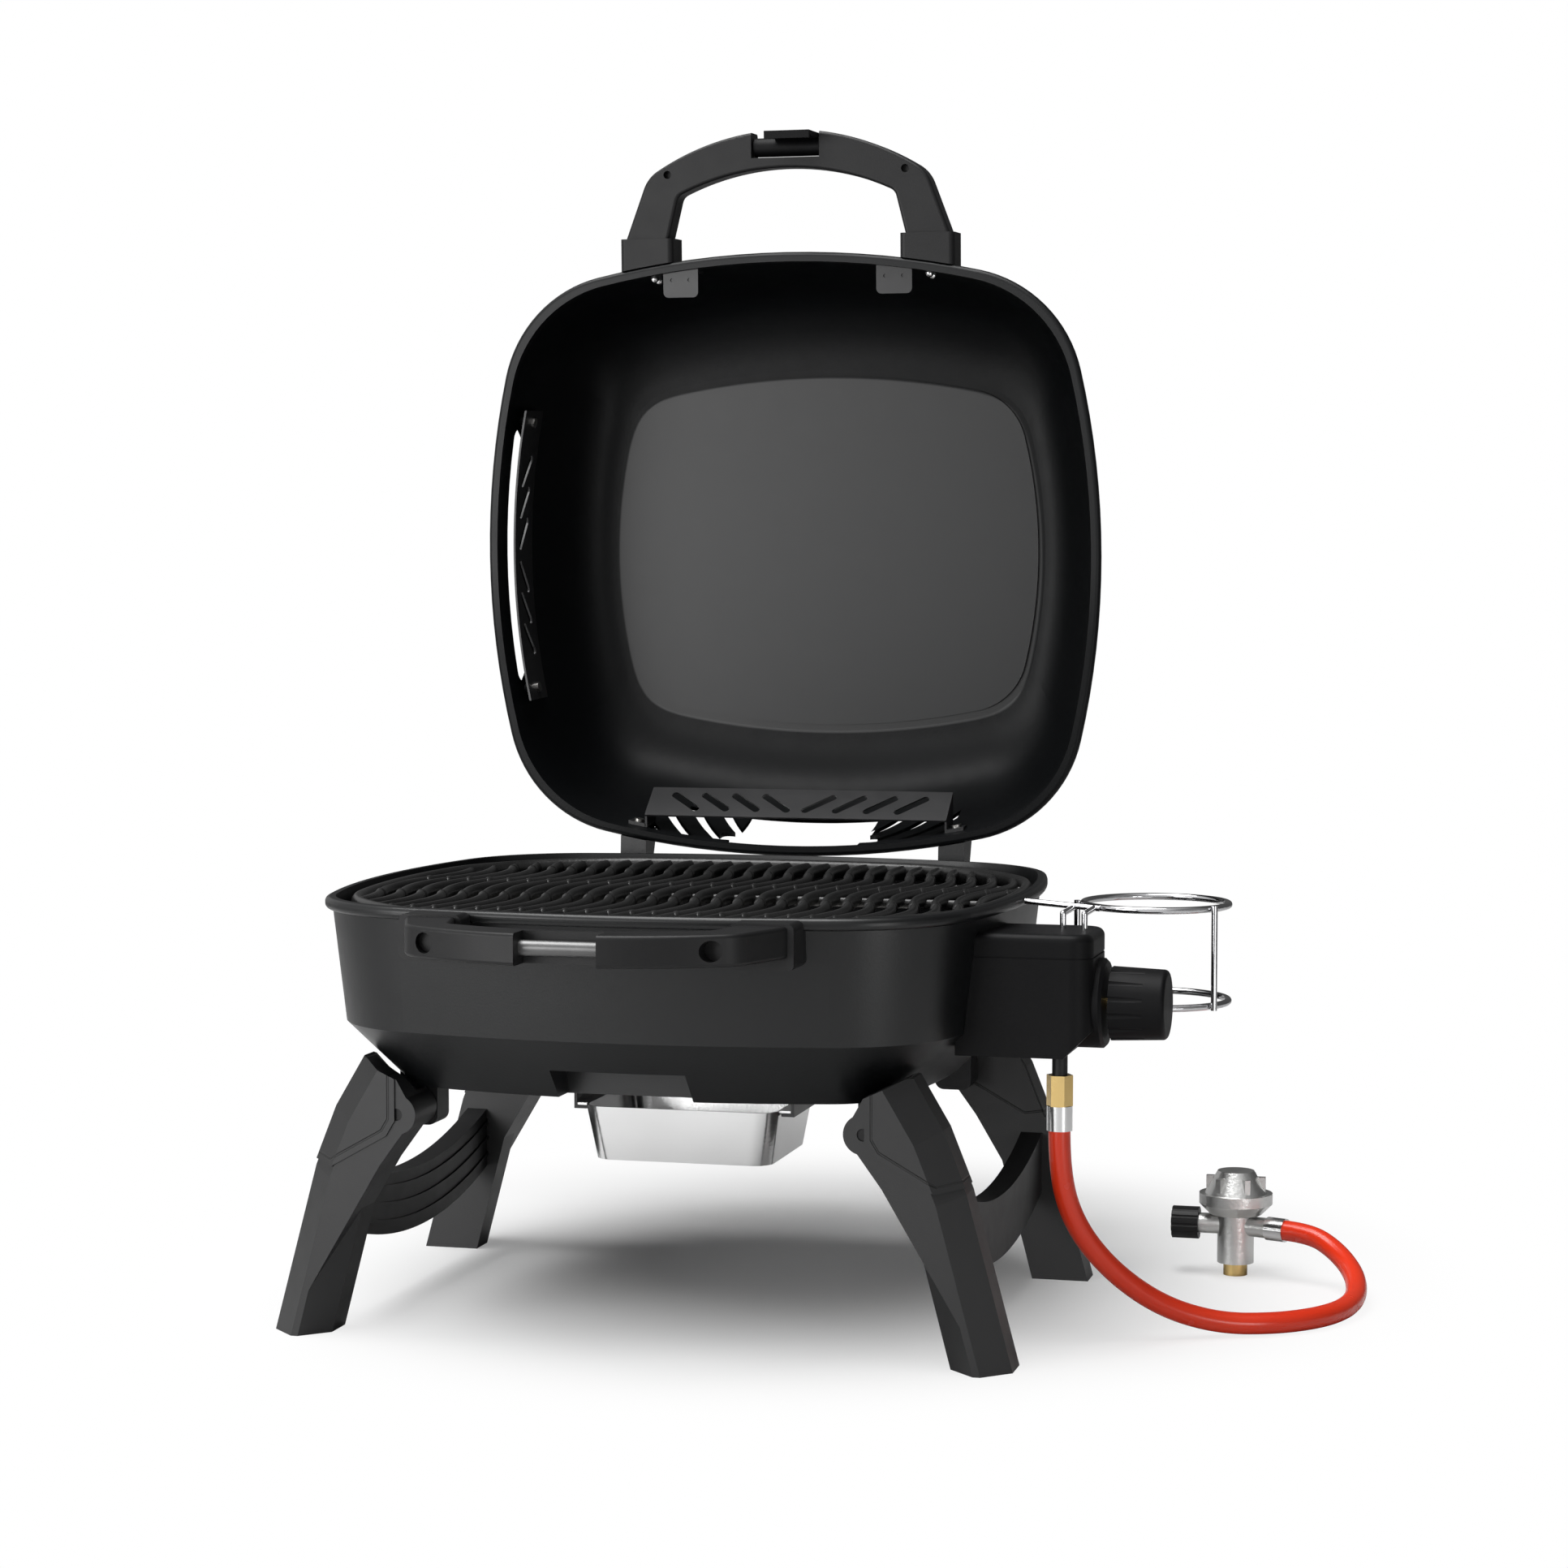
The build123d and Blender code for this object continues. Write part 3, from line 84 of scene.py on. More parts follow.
class Finish:
    """A surface finish: one Principled shader and the nodes that feed it."""

    def __init__(self, name, colour, roughness, metallic=0.0, **fixed):
        self.material = bpy.data.materials.new(name)
        self.material.use_nodes = True
        self.tree = self.material.node_tree
        self.shader = self.tree.nodes["Principled BSDF"]
        self.shader.inputs["Base Color"].default_value = (*colour, 1)
        self.shader.inputs["Roughness"].default_value = roughness
        self.shader.inputs["Metallic"].default_value = metallic
        for key, value in fixed.items():
            self.shader.inputs[key.replace("_", " ")].default_value = value

    def put(self, socket, value):
        """Feeds a socket with a reading or sets it to a value."""
        if isinstance(value, Reading):
            self.tree.links.new(value.socket, socket)
        else:
            socket.default_value = value

    def node(self, kind, settings=None, *values, **named):
        """Adds a node: settings, then sockets in order or by name. Returns its first output."""
        node = self.tree.nodes.new(kind)
        for key, value in (settings or {}).items():
            setattr(node, key, value)
        for socket, value in zip(node.inputs, values):
            self.put(socket, value)
        for key, value in named.items():
            self.put(node.inputs[key], value)
        return Reading(self, node.outputs[0])

    def place(self):
        """Object coordinates, in metres."""
        node = self.tree.nodes.new("ShaderNodeTexCoord")
        return Reading(self, node.outputs["Object"])

    def axes(self):
        """Object coordinates along X, Y and Z, each by itself, in metres."""
        node = self.tree.nodes.new("ShaderNodeSeparateXYZ")
        self.put(node.inputs[0], self.place())
        return [Reading(self, output) for output in node.outputs]

    def noise(self, scale, detail):
        """Noise with about scale grains to the metre."""
        return self.node("ShaderNodeTexNoise", None, Vector=self.place(), Scale=scale, Detail=detail)

    def span(self, value, start, end, first, last, smooth=False):
        """Runs from first to last while a value runs from start to end."""
        settings = {"interpolation_type": "SMOOTHSTEP" if smooth else "LINEAR"}
        return self.node("ShaderNodeMapRange", settings, value, start, end, first, last)

    def ramp(self, value, *stops):
        """Colours or greys that a value runs through: (place, colour) pairs."""
        node = self.tree.nodes.new("ShaderNodeValToRGB")
        for stop in stops[2:]:
            node.color_ramp.elements.new(stop[0])
        for element, (at, colour) in zip(node.color_ramp.elements, stops):
            element.position = at
            element.color = (*colour, 1) if isinstance(colour, tuple) else (colour, colour, colour, 1)
        self.put(node.inputs[0], value)
        return Reading(self, node.outputs[0])

    def feed(self, **inputs):
        """Feeds the shader's own sockets."""
        for name, value in inputs.items():
            self.put(self.shader.inputs[name.replace("_", " ")], value)

    def bump(self, height, depth):
        """Raises the surface by a height of 0 to 1, depth being the real rise in metres."""
        self.feed(Normal=self.node("ShaderNodeBump", None, Height=height, Distance=depth, Strength=1.0))


def wandering(finish, roughness, spread):
    """Gives a finish a roughness that wanders by up to half the spread over a few centimetres."""
    finish.feed(Roughness=roughness + (finish.noise(60, 3.0) - 0.5) * spread)


def grained(finish, colour, dark, roughness, spread, grain, depth):
    """Breaks up a finish: patches from dark to colour, a roughness that wanders, and a fine grain."""
    patches = finish.noise(14, 4.0)
    finish.feed(Base_Color=finish.ramp(patches, (0.3, dark), (0.7, colour)))
    wandering(finish, roughness, spread)
    finish.bump(finish.noise(grain, 2.0), depth)


def dress(finish, *names):
    """Gives CAD nodes a finish."""
    for name in names:
        materials = nodes[name].data.materials
        materials.clear()
        materials.append(finish.material)


def joined(pieces):
    """Puts the places of new pieces into their meshes and joins them into the first one."""
    bpy.ops.object.select_all(action="DESELECT")
    for piece in pieces:
        piece.select_set(True)
    bpy.context.view_layer.objects.active = pieces[0]
    bpy.ops.object.transform_apply(location=True, rotation=True, scale=True)
    bpy.ops.object.join()
    bpy.ops.object.mode_set(mode="EDIT")
    bpy.ops.mesh.select_all(action="SELECT")
    bpy.ops.mesh.normals_make_consistent(inside=False)
    bpy.ops.object.mode_set(mode="OBJECT")
    return bpy.context.object


HOSE_D = 0.0144
HOSE_ROUTE = [
    spot(266, -85, 144),
    spot(266, -85, 115),
    spot(275, -76, 80),
    spot(296, -58, 48),
    spot(326, -37, 22),
    spot(361, -19, 9),
    spot(396, -4, 7.5),
    spot(423, 21, 7.5),
    spot(438, 55, 7.5),
    spot(442, 92, 10),
    spot(436, 124, 18),
    spot(421, 148, 28),
    spot(403, 160.3, 36),
    spot(384.3, 167.5, 36),
]
line = bpy.data.curves.new("hose", "CURVE")
line.dimensions = "3D"
line.bevel_depth = HOSE_D / 2
line.bevel_resolution = 8
line.resolution_u = 12
line.use_fill_caps = True
spline = line.splines.new("NURBS")
spline.points.add(len(HOSE_ROUTE) - 1)
for point, place in zip(spline.points, HOSE_ROUTE):
    point.co = (*place, 1)
spline.order_u = 3
spline.use_endpoint_u = True
hose = bpy.data.objects.new("hose", line)
bpy.context.scene.collection.objects.link(hose)

rubber = Finish("hose_rubber", (0.99, 0.05, 0.012), 0.26, Specular_IOR_Level=0.5)
grained(rubber, (0.99, 0.055, 0.014), (0.95, 0.045, 0.011), 0.25, 0.12, 900, 0.00005)
line.materials.append(rubber.material)
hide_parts("gas_hose")
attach(hose, "base")


# ---------------------------------------------------------------------------------------------
# Ferrules, nut and valve. The ferrules are plated steel, crimped over the ends of the hose. The hex
# nut above them is turned brass, and so are the regulator's foot and the valve inside the box.

plated = Finish("crimped_plate", (0.80, 0.80, 0.80), 0.2, 1.0)
grained(plated, (0.82, 0.82, 0.82), (0.6, 0.6, 0.6), 0.2, 0.15, 500, 0.00004)
dress(plated, "upper_ferrule", "lower_ferrule")

brass = Finish("turned_brass", (0.83, 0.62, 0.28), 0.26, 1.0)
grained(brass, (0.86, 0.64, 0.28), (0.66, 0.45, 0.17), 0.25, 0.15, 700, 0.00004)
dress(brass, "inlet_nut", "regulator_foot", "gas_valve", "valve_rotor", "valve_stem")


# ---------------------------------------------------------------------------------------------
# Regulator. A round body and a ribbed cap, die-cast in grey alloy with the slightly rough skin that
# the mould leaves. It stands on the floor at the end of the hose.

zinc = Finish("die_cast_alloy", (0.62, 0.62, 0.61), 0.36, 1.0)
grained(zinc, (0.72, 0.72, 0.71), (0.50, 0.50, 0.49), 0.34, 0.2, 420, 0.0002)
dress(zinc, "regulator_body", "regulator_cap")


# ---------------------------------------------------------------------------------------------
# Firebox and hinges. A cast shell with satin black stove enamel, which has a faint orange-peel skin.
# The hinge brackets and leaves are bolted to it and to the lid, and carry the same enamel.

enamel = Finish("stove_enamel", (0.0032, 0.0036, 0.0042), 0.36, Specular_IOR_Level=0.42)
grained(enamel, (0.0036, 0.004, 0.0046), (0.0026, 0.003, 0.0034), 0.36, 0.08, 700, 0.00005)
dress(enamel, "firebox")
dress(enamel, "left_hinge_bracket", "right_hinge_bracket", "left_hinge_leaf", "right_hinge_leaf")


# ---------------------------------------------------------------------------------------------
# Lid. The same casting and enamel, coloured darker than the firebox as painted shade on its walls, but
# its flat ceiling panel is ground smooth before the enamel goes on, so it shines more than the walls
# around it. Its rear wall has a window between slanted slots, which let the hot air out behind the
# baffle.

PANEL_HALF_W = 0.1705
PANEL_HALF_H = 0.1385
PANEL_SIDE_R = 0.375
PANEL_TOP_R = 0.597
PANEL_CORNER = 0.039
PANEL_SOFT = 0.001
PANEL_COAT = 0.72
INNER_SIDE_BELOW_CROWN = (0.016, 0.015)
OUTER_SKIN_BELOW_CROWN = (0.0022, 0.0016)
EDGE_ABOVE_OPENING = (0.008, 0.010)
EDGE_COAT = 0.25
LID_LEAN = math.radians(2)
lid_low, lid_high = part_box("lid")
# Darker than the firebox's enamel, in this tone and in the grain colours below: painted shade on the
# lid's walls.
LID_SHADE_TONE = (0.0022, 0.0026, 0.0032)
lid_enamel = Finish("lid_enamel", LID_SHADE_TONE, 0.42, Specular_IOR_Level=0.16, Coat_Roughness=0.40)
grained(lid_enamel, (0.0025, 0.0029, 0.0035), (0.0018, 0.0022, 0.0026), 0.42, 0.08, 700, 0.00005)
across, deep, up = lid_enamel.axes()
middle_z = (lid_low.z + lid_high.z) / 2
across = across - (lid_low.x + lid_high.x) / 2
up = up - middle_z
aside = across.maths("ABSOLUTE")
past_side = aside + up * up * (0.5 / PANEL_SIDE_R) - PANEL_HALF_W
past_top = up.maths("ABSOLUTE") + across * across * (0.5 / PANEL_TOP_R) - PANEL_HALF_H
outside = past_side.maths("SMOOTH_MAX", past_top, PANEL_CORNER)
panel = lid_enamel.span(outside, PANEL_SOFT, -PANEL_SOFT, 0.0, 1.0, smooth=True)
lean_back, lean_up = math.cos(LID_LEAN), math.sin(LID_LEAN)
through = deep * lean_back + up * lean_up
crown = max(v.co.y * lean_back + (v.co.z - middle_z) * lean_up for v in nodes["lid"].data.vertices)
inner_side = lid_enamel.span(through, *(crown - depth for depth in INNER_SIDE_BELOW_CROWN), 0.0, 1.0)
outer_skin = lid_enamel.span(through, *(crown - depth for depth in OUTER_SKIN_BELOW_CROWN), 1.0, 0.0)
rolled_edge = lid_enamel.span(deep, *(lid_low.y + rise for rise in EDGE_ABOVE_OPENING), EDGE_COAT, 0.0)
lid_enamel.feed(Coat_Weight=panel * inner_side * outer_skin * PANEL_COAT + rolled_edge)

WINDOW_HALF = 0.051
WINDOW_NEAR = 0.020
SLOTS_HALF = 0.116
SLOTS_NEAR = 0.027
SLOTS_OVERLAP = 0.008
VENT_FAR = 0.095
VENT_TOP = -0.170
SLOT_PITCH = 0.025
SLOT_HALF = 0.0044
SLOT_LEAN = 0.55
SLOT_START = 0.010


def between(value, low, high):
    """1 where a reading lies between two values, otherwise 0."""
    return value.maths("GREATER_THAN", low) * value.maths("LESS_THAN", high)


run = deep - lid_low.y
window = aside.maths("LESS_THAN", WINDOW_HALF) * between(run, WINDOW_NEAR, VENT_FAR)
lane = (aside - (run - SLOT_START) * SLOT_LEAN).maths("PINGPONG", SLOT_PITCH / 2)
slots = lane.maths("LESS_THAN", SLOT_HALF) * between(run, SLOTS_NEAR, VENT_FAR)
slots = slots * between(aside, WINDOW_HALF - SLOTS_OVERLAP, SLOTS_HALF)
low_wall = up.maths("LESS_THAN", VENT_TOP)
lid_enamel.feed(Alpha=1.0 - window.maths("MAXIMUM", slots) * low_wall)
dress(lid_enamel, "lid")


# ---------------------------------------------------------------------------------------------
# Vent baffles, clip plates and tray runners. Pressed black sheet steel. The baffles are screwed to
# bosses inside the lid, and the runners hang under the firebox.

sheet_black = Finish("black_sheet", (0.013, 0.013, 0.014), 0.36, Specular_IOR_Level=0.5)
grained(sheet_black, (0.018, 0.018, 0.019), (0.010, 0.010, 0.011), 0.36, 0.1, 900, 0.00003)
dress(sheet_black, "rear_vent_baffle", "side_vent_baffle", "lid_clips", "tray_rails")


# ---------------------------------------------------------------------------------------------
# Cooking grate. Cast iron with a glossy black porcelain enamel over a sandy skin. Its round-topped
# bars run from front to back in long waves, with knots on them and low links between them, and end
# in a rim that rests on the ledge of the firebox.

cast = Finish("enamelled_iron", (0.016, 0.016, 0.016), 0.34, Specular_IOR_Level=0.5)
grained(cast, (0.02, 0.02, 0.02), (0.010, 0.010, 0.010), 0.34, 0.15, 420, 0.0002)

GRATE_HALF_W = 0.223
GRATE_HALF_D = 0.2145
GRATE_SIDE_R = 0.582
GRATE_END_R = 0.636
GRATE_CORNER = 0.0885
GRATE_FRAME_R = 0.0042
GRATE_FRAME_INSET = 0.0048
GRATE_BAR_R = 0.0031
GRATE_BAR_PITCH = 0.0149
GRATE_BARS = 14
GRATE_WAVE = 0.19
GRATE_WAVE_SWING = 0.0075
GRATE_WAVE_START = 0.035
GRATE_STRETCH = 1.55
GRATE_MIDDLE_Z = 281.6
GRATE_STEPS = 90
KNOT_R = 0.0038
KNOT_SHAPE = (1.0, 2.2, 0.9)
KNOT_ROWS = (-0.155, -0.06, 0.035, 0.13)
LINK_ROWS = (-0.104, 0.0, 0.104)
LINK_DROP = 0.0017
LINK_R = 0.7 * GRATE_BAR_R
FRAME_SIDES = 120
HALVINGS = 30
SMOOTH_UNDER = math.radians(50)


def from_frame(x, y):
    """How far a point of the grate lies outside its outline, less than 0 inside."""
    side = abs(x) + y * y / 2 / GRATE_SIDE_R - GRATE_HALF_W + GRATE_CORNER
    end = abs(y) + x * x / 2 / GRATE_END_R - GRATE_HALF_D + GRATE_CORNER
    if max(side, end) <= 0:
        return max(side, end) - GRATE_CORNER
    return math.hypot(max(side, 0), max(end, 0)) - GRATE_CORNER


def frame_point(angle):
    """The place on the frame's centre line in that direction from the middle."""
    near, far = 0.0, GRATE_HALF_W + GRATE_HALF_D
    for _ in range(HALVINGS):
        half = (near + far) / 2
        if from_frame(half * math.cos(angle), half * math.sin(angle)) < -GRATE_FRAME_INSET:
            near = half
        else:
            far = half
    return near * math.cos(angle), near * math.sin(angle)


def swing(y):
    """Sideways place of a wave bar at y."""
    return GRATE_WAVE_SWING * math.sin(2 * math.pi * (y - GRATE_WAVE_START) / GRATE_WAVE)


def rods(name, radius, lines, closed=False):
    """One curve object of round rods along lists of points, turned to a mesh."""
    curve = bpy.data.curves.new(name, "CURVE")
    curve.dimensions = "3D"
    curve.bevel_depth = radius
    curve.bevel_resolution = 3
    curve.use_fill_caps = True
    for points in lines:
        strip = curve.splines.new("POLY")
        strip.points.add(len(points) - 1)
        for point, place in zip(strip.points, points):
            point.co = (*place, 1)
        strip.use_cyclic_u = closed
    rod_set = bpy.data.objects.new(name, curve)
    bpy.context.scene.collection.objects.link(rod_set)
    bpy.ops.object.select_all(action="DESELECT")
    rod_set.select_set(True)
    bpy.context.view_layer.objects.active = rod_set
    bpy.ops.object.convert(target="MESH")
    return bpy.context.object


bar_lines = []
for bar in range(-GRATE_BARS, GRATE_BARS + 1):
    ys = [GRATE_HALF_D * (2 * step / GRATE_STEPS - 1) for step in range(GRATE_STEPS + 1)]
    points = [(bar * GRATE_BAR_PITCH + swing(y), y, 0) for y in ys]
    points = [point for point in points if from_frame(point[0], point[1]) < -GRATE_FRAME_INSET]
    if len(points) > 2:
        bar_lines.append(points)
link_lines = []
for y in LINK_ROWS:
    tries = [x / 1000 for x in range(round(GRATE_HALF_W * 1000))]
    reach = max(x for x in tries if from_frame(x, y) < -GRATE_FRAME_INSET)
    link_lines.append([(side * reach, y, -LINK_DROP) for side in (-1, 1)])
around = [(*frame_point(2 * math.pi * step / FRAME_SIDES), 0) for step in range(FRAME_SIDES)]
pieces = [
    rods("grate", GRATE_BAR_R, bar_lines),
    rods("grate_links", LINK_R, link_lines),
    rods("grate_frame", GRATE_FRAME_R, [around], closed=True),
]
for bar in range(-GRATE_BARS, GRATE_BARS + 1):
    for y in KNOT_ROWS:
        x = bar * GRATE_BAR_PITCH + swing(y)
        if from_frame(x, y) < -2 * GRATE_FRAME_INSET:
            bpy.ops.object.select_all(action="DESELECT")
            bpy.ops.mesh.primitive_uv_sphere_add(
                segments=12, ring_count=8, radius=KNOT_R, location=(x, y, 0)
            )
            bpy.context.object.scale = KNOT_SHAPE
            pieces.append(bpy.context.object)
grate = joined(pieces)
bpy.ops.object.mode_set(mode="EDIT")
bpy.ops.mesh.select_all(action="SELECT")
bpy.ops.transform.resize(value=(1, 1, GRATE_STRETCH), center_override=(0, 0, 0))
bpy.ops.transform.translate(value=spot(0, 0, GRATE_MIDDLE_Z))
bpy.ops.object.mode_set(mode="OBJECT")
bpy.ops.object.shade_smooth_by_angle(angle=SMOOTH_UNDER)
grate.data.materials.clear()
grate.data.materials.append(cast.material)
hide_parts("cooking_grate")
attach(grate, "base")


# ---------------------------------------------------------------------------------------------
# Rods, burner and screws. The catch rod and the hinge pins are drawn steel in a dark grey. The
# burner, the tent above it and the baffle screws are plain stainless steel.

rod_steel = Finish("rod_steel", (0.12, 0.12, 0.12), 0.38, 1.0)
grained(rod_steel, (0.16, 0.16, 0.16), (0.09, 0.09, 0.09), 0.38, 0.1, 600, 0.00003)
dress(rod_steel, "catch_rod", "hinge_pins")

steel = Finish("stainless", (0.50, 0.49, 0.47), 0.3, 1.0)
grained(steel, (0.56, 0.55, 0.53), (0.36, 0.35, 0.33), 0.3, 0.2, 600, 0.00003)
dress(steel, "burner_tube", "heat_tent", "vent_screws")


# ---------------------------------------------------------------------------------------------
# Handles, crossbars, control box and knob. Glass-filled black nylon with a fine spark-eroded grain.
# The box, the knob and the latch are a duller grade whose darker colour is painted shade, and the four
# legs a greyer one whose lighter colour is painted light; their raised thigh panels have a narrow groove
# inside their edge, coloured near black as painted shade.

nylon = Finish("black_nylon", (0.007, 0.007, 0.0075), 0.46, Specular_IOR_Level=0.3)
grained(nylon, (0.008, 0.008, 0.0085), (0.005, 0.005, 0.0055), 0.46, 0.1, 1400, 0.00005)
dress(nylon, "lid_handle", "lid_handle_sockets", "front_handle", "front_handle_sockets")
dress(nylon, "leg_lugs", "leg_pins", "left_crossbar", "right_crossbar")
dress(nylon, "regulator_handwheel", "gas_inlet")

# A darker copy of the black nylon: its darker base colour is painted shade on the box, the knob and the
# latch.
box_nylon_painted_shade = Finish("box_nylon_painted_shade", (0.004, 0.004, 0.0045), 0.5, Specular_IOR_Level=0.12)
grained(box_nylon_painted_shade, (0.005, 0.005, 0.0055), (0.003, 0.003, 0.0035), 0.5, 0.1, 1400, 0.00005)
dress(box_nylon_painted_shade, "control_box", "knob_collar", "control_knob", "latch_hook", "latch_pin")

# Corners of the thigh panel, in millimetres outwards from the middle and up from the floor.
LEG_PANEL = [(157, 190), (157, 146), (163, 136), (202, 114), (230, 118), (230, 190)]
LEG_GROOVE_INSET = 0.0045
LEG_GROOVE_HALF = 0.0009
LEG_GROOVE_FLAT = 0.4 * LEG_GROOVE_HALF
LEG_GROOVE_DEPTH = 0.0008
LEG_GRAIN_SHARE = 0.06
# Lighter than the handles' nylon: this greyer base colour is painted light on the legs.
LEG_LIT_TONE = (0.013, 0.013, 0.0135)
# Near-black tone in the groove: painted shade in the recess.
GROOVE_SHADE_TONE = (0.001, 0.001, 0.001)
leg_nylon_painted_light = Finish("leg_nylon_painted_light", LEG_LIT_TONE, 0.46, Specular_IOR_Level=0.5)
leg_across, _, leg_up = leg_nylon_painted_light.axes()
beside = (leg_across - spot(0, 0, 0).x).maths("ABSOLUTE")
outside_panel = None
for (x0, z0), (x1, z1) in zip(LEG_PANEL, LEG_PANEL[1:] + LEG_PANEL[:1]):
    edge = math.hypot(x1 - x0, z1 - z0)
    out_x, out_z = (z0 - z1) / edge, (x1 - x0) / edge
    past = beside * -out_x - leg_up * out_z + (out_x * x0 + out_z * z0) / 1000
    outside_panel = past if outside_panel is None else outside_panel.maths("MAXIMUM", past)
off_line = (outside_panel + LEG_GROOVE_INSET).maths("ABSOLUTE")
off_groove = leg_nylon_painted_light.span(off_line, LEG_GROOVE_FLAT, LEG_GROOVE_HALF, 0.0, 1.0, smooth=True)
# The groove is coloured near black as painted shade in the recess, besides its bump.
leg_nylon_painted_light.feed(Base_Color=leg_nylon_painted_light.ramp(off_groove, (0.0, GROOVE_SHADE_TONE), (1.0, LEG_LIT_TONE)))
wandering(leg_nylon_painted_light, 0.46, 0.1)
leg_nylon_painted_light.bump(off_groove + leg_nylon_painted_light.noise(1400, 2.0) * LEG_GRAIN_SHARE, LEG_GROOVE_DEPTH)
dress(leg_nylon_painted_light, "left_front_leg", "left_rear_leg", "right_front_leg", "right_rear_leg")


# ---------------------------------------------------------------------------------------------
# Handle nuts. Four small plated dome nuts on the inside of the lid's wall, on the bolts that hold
# the handle's two sockets.

NUT_R = 0.0032
NUT_H = 0.003
NUT_GAP = 0.00015
NUT_X = 106
NUT_ROWS = (252, 264)
BELOW_WALL = 600
nut_metal = Finish("nut_plate", (0.85, 0.85, 0.85), 0.18, 1.0)
grained(nut_metal, (0.88, 0.88, 0.88), (0.7, 0.7, 0.7), 0.18, 0.1, 500, 0.00002)
nuts = []
for x in (-NUT_X, NUT_X):
    for y in NUT_ROWS:
        _, wall, facing, _ = nodes["lid"].ray_cast(spot(x, y, BELOW_WALL), Vector((0, 0, 1)))
        bpy.ops.object.select_all(action="DESELECT")
        bpy.ops.mesh.primitive_uv_sphere_add(segments=24, ring_count=12, radius=NUT_R)
        nut = bpy.context.object
        bpy.ops.object.mode_set(mode="EDIT")
        bpy.ops.mesh.select_all(action="SELECT")
        bpy.ops.mesh.bisect(plane_co=(0, 0, 0), plane_no=(0, 0, 1), use_fill=True, clear_inner=True)
        bpy.ops.mesh.select_all(action="SELECT")
        bpy.ops.transform.resize(value=(1, 1, NUT_H / NUT_R), center_override=(0, 0, 0))
        bpy.ops.object.mode_set(mode="OBJECT")
        nut.rotation_euler = facing.to_track_quat("Z", "Y").to_euler()
        nut.location = wall + facing * NUT_GAP
        nuts.append(nut)
handle_nuts = joined(nuts)
handle_nuts.name = "handle_nuts"
bpy.ops.object.shade_smooth_by_angle(angle=math.radians(40))
handle_nuts.data.materials.append(nut_metal.material)
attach(handle_nuts, "lid")


# ---------------------------------------------------------------------------------------------
# Wire holder. Two rings, two uprights and a stay of steel wire, welded and bright plated. Its feet
# go into the top of the control box.

chrome = Finish("bright_plate", (0.55, 0.55, 0.56), 0.08, 1.0)
grained(chrome, (0.58, 0.58, 0.59), (0.46, 0.46, 0.47), 0.09, 0.06, 300, 0.00002)
dress(chrome, "wire_holder")


# ---------------------------------------------------------------------------------------------
# Drip tray. Bright pressed aluminium with a fine grain. It slides in its runners below the drain.

tray_metal = Finish("pressed_aluminium", (0.93, 0.93, 0.93), 0.22, 1.0)
grained(tray_metal, (0.95, 0.95, 0.95), (0.86, 0.86, 0.86), 0.2, 0.1, 500, 0.00004)
dress(tray_metal, "drip_tray")


# ---------------------------------------------------------------------------------------------
# Floor, lamps and camera. A pale floor that fades to white, and three soft lamps: in front on the
# left, above, and a weak one low on the right. The camera stands in front, a little to the right,
# and looks slightly down.

FLOOR_SPAN = 12.0
FLOOR_TONE = 0.97
BOUNCE_TONE = 0.32
MIRROR_SHARE = 0.8
FADE_FROM = 0.10
FADE_TO = 0.50
FADE_MIDDLE = (-0.03, 0.13, 0)
SURROUND_LEVEL = 0.10
RIGHT_SIDE_FALL = (0.2, 0.7, 0.3)
REAR_FALL = (-0.2, 0.5, 0.1)
REAR_LEFT_FALL = (-0.55, -0.35, 0.0)
REAR_LEFT_LEVEL = 0.5
bpy.ops.mesh.primitive_plane_add(size=FLOOR_SPAN, location=(0, 0, 0))
floor = bpy.context.object
floor.name = "floor"
ground = Finish("pale_floor", (FLOOR_TONE,) * 3, 0.9, Specular_IOR_Level=0.1)
shifted = ground.node("ShaderNodeVectorMath", {"operation": "SUBTRACT"}, ground.place(), FADE_MIDDLE)
spread = ground.node("ShaderNodeVectorMath", {"operation": "LENGTH"}, shifted)
spread.socket = spread.socket.node.outputs["Value"]
fade = ground.span(spread, FADE_FROM, FADE_TO, 0.0, 1.0, smooth=True)
seen = ground.node("ShaderNodeLightPath")
mirrored = Reading(ground, seen.socket.node.outputs["Is Glossy Ray"])
ground.feed(Base_Color=ground.ramp(seen + mirrored * MIRROR_SHARE, (0.0, BOUNCE_TONE), (1.0, FLOOR_TONE)))
white = ground.node("ShaderNodeEmission", None, (1, 1, 1, 1), 1.0)
lit = Reading(ground, ground.shader.outputs[0])
mixed = ground.node("ShaderNodeMixShader", None, fade * seen, lit, white)
ground.tree.links.new(mixed.socket, ground.tree.nodes["Material Output"].inputs["Surface"])
floor.data.materials.append(ground.material)

world = bpy.data.worlds.new("studio")
world.use_nodes = True
bpy.context.scene.world = world
sky = world.node_tree.nodes["Background"]
sky.inputs["Color"].default_value = (1, 1, 1, 1)
paths = world.node_tree.nodes.new("ShaderNodeLightPath")
links = world.node_tree.links


def world_maths(operation, first, second):
    """Adds a Math node to the world and returns its output."""
    node = world.node_tree.nodes.new("ShaderNodeMath")
    node.operation = operation
    for socket, value in zip(node.inputs, (first, second)):
        if isinstance(value, float):
            socket.default_value = value
        else:
            links.new(value, socket)
    return node.outputs[0]


bearing = world.node_tree.nodes.new("ShaderNodeTexCoord")
parts = world.node_tree.nodes.new("ShaderNodeSeparateXYZ")
links.new(bearing.outputs["Generated"], parts.inputs[0])


def fall(axis, start, end, low):
    """A level that runs from 1 to low as a direction turns along an axis."""
    node = world.node_tree.nodes.new("ShaderNodeMapRange")
    node.interpolation_type = "SMOOTHSTEP"
    links.new(parts.outputs[axis], node.inputs["Value"])
    for key, value in (("From Min", start), ("From Max", end), ("To Min", 1.0), ("To Max", low)):
        node.inputs[key].default_value = value
    return node.outputs[0]


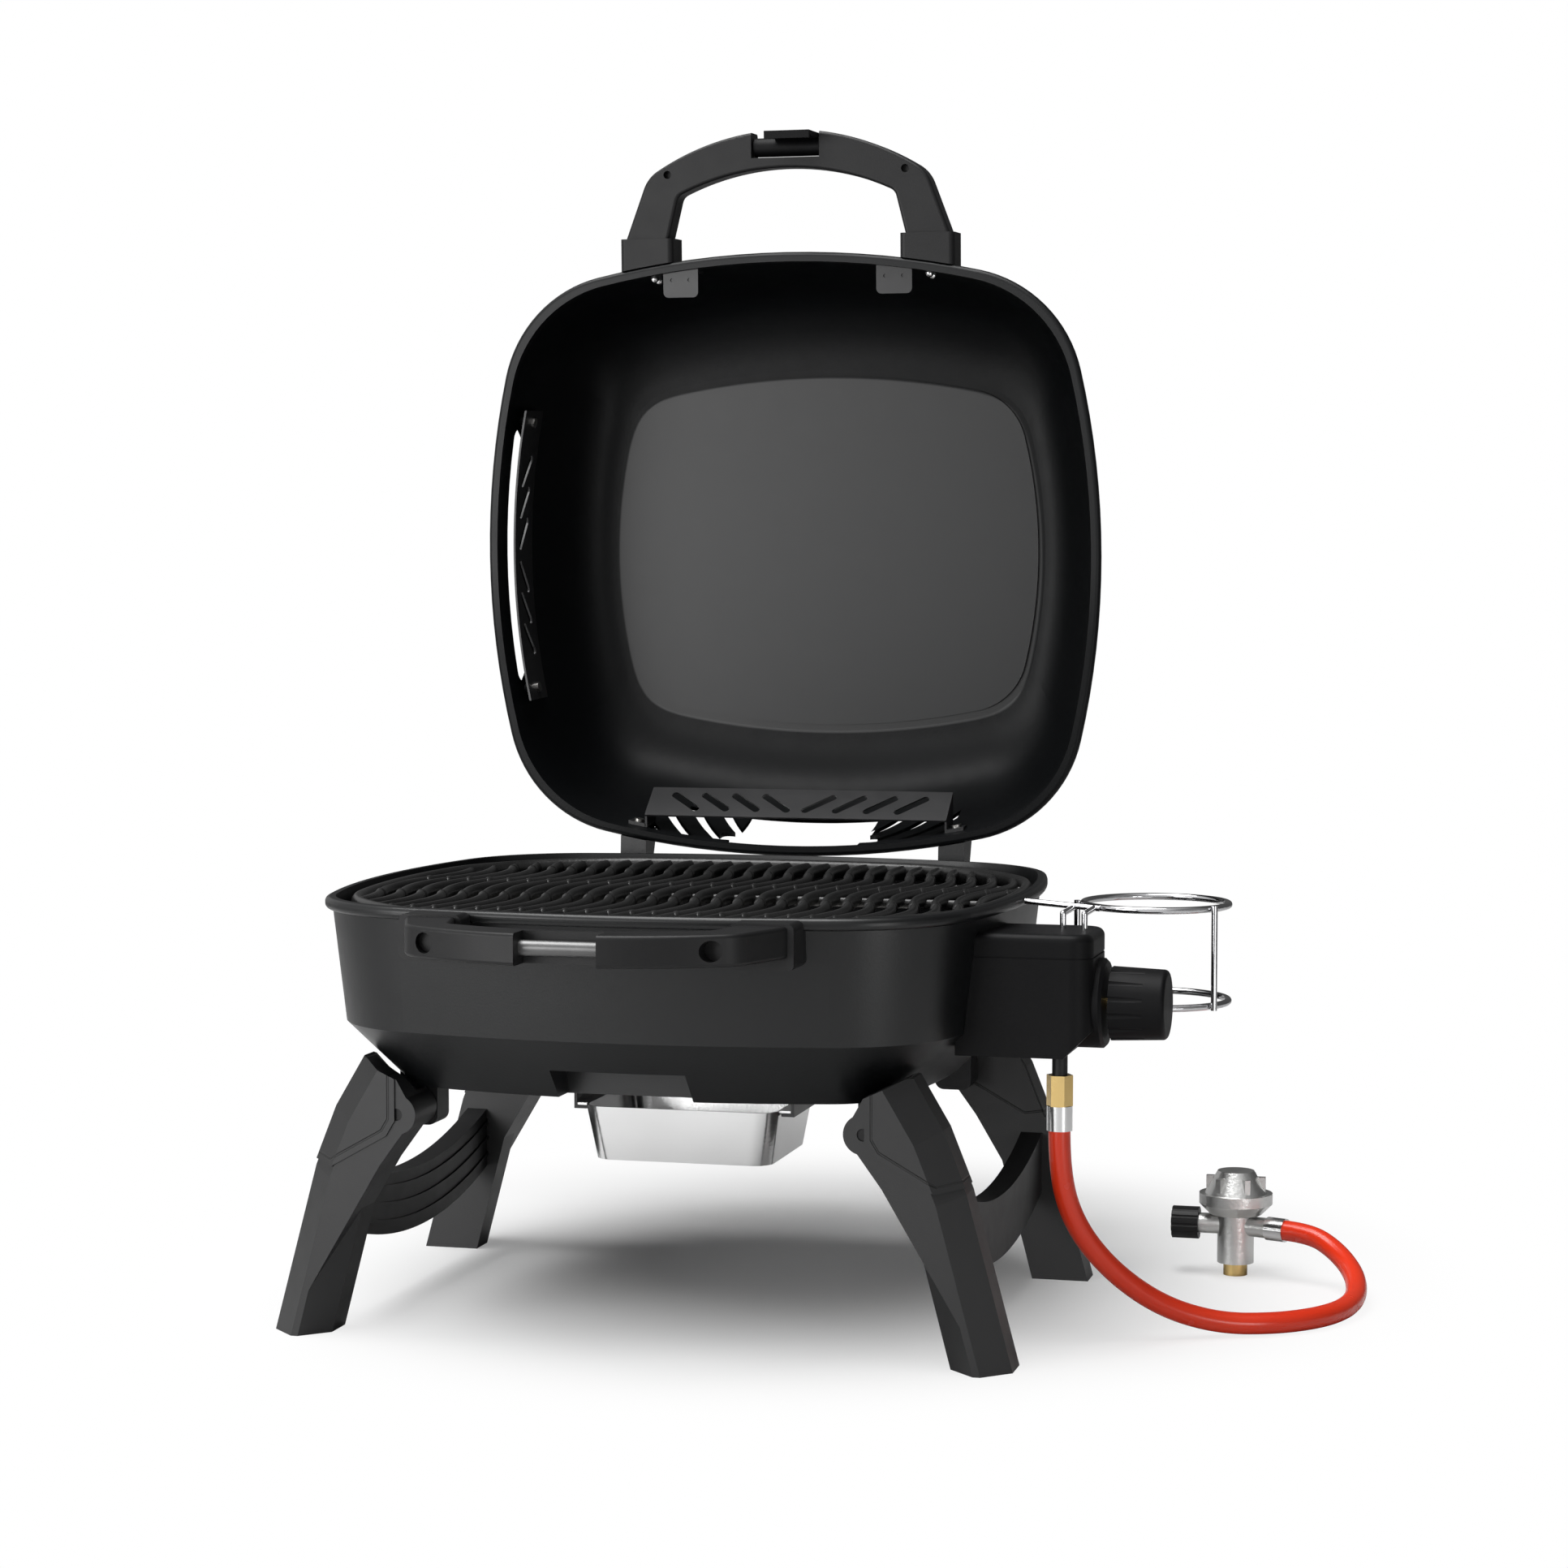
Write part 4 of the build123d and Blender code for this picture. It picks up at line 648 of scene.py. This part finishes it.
sides = world_maths("MULTIPLY", fall("X", *RIGHT_SIDE_FALL), fall("Y", *REAR_FALL))
rear_left = world_maths("MULTIPLY", fall("X", *REAR_LEFT_FALL), REAR_LEFT_LEVEL)
mirror_level = world_maths("MAXIMUM", sides, rear_left)
mirror_share = world_maths("MULTIPLY", paths.outputs["Is Glossy Ray"], mirror_level)
shown = world_maths("MAXIMUM", paths.outputs["Is Camera Ray"], mirror_share)
links.new(world_maths("MAXIMUM", shown, SURROUND_LEVEL), sky.inputs["Strength"])


def lamp(name, place, aim, size, power):
    """A soft rectangular lamp that points at a place."""
    data = bpy.data.lights.new(name, "AREA")
    data.shape = "RECTANGLE"
    data.size, data.size_y = size
    data.energy = power
    light = bpy.data.objects.new(name, data)
    light.location = place
    light.rotation_euler = (Vector(aim) - Vector(place)).to_track_quat("-Z", "Y").to_euler()
    bpy.context.scene.collection.objects.link(light)


lamp("key", place=(-1.5, -2.2, 0.55), aim=(0, 0.2, 0.45), size=(1.6, 1.1), power=30)
lamp("top", place=(-0.4, -0.3, 2.4), aim=(0, 0, 0), size=(1.8, 1.6), power=62)
lamp("low right", place=(1.2, -1.1, 0.15), aim=(0.3, -0.1, 0.03), size=(0.4, 0.3), power=2.5)

CAMERA_TURN = math.radians(14.6)
CAMERA_RISE = math.radians(3.8)
CAMERA_AWAY = 2.327
CAMERA_LENS = 78.7
aim = spot(60.5, 0, 358.5)
back = Vector((
    math.sin(CAMERA_TURN) * math.cos(CAMERA_RISE),
    -math.cos(CAMERA_TURN) * math.cos(CAMERA_RISE),
    math.sin(CAMERA_RISE),
))
camera_data = bpy.data.cameras.new("camera")
camera_data.lens = CAMERA_LENS
camera_data.sensor_width = 36
camera = bpy.data.objects.new("camera", camera_data)
camera.location = aim + back * CAMERA_AWAY
camera.rotation_euler = (-back).to_track_quat("-Z", "Y").to_euler()
bpy.context.scene.collection.objects.link(camera)
bpy.context.scene.camera = camera
bpy.context.scene.view_settings.view_transform = "Standard"
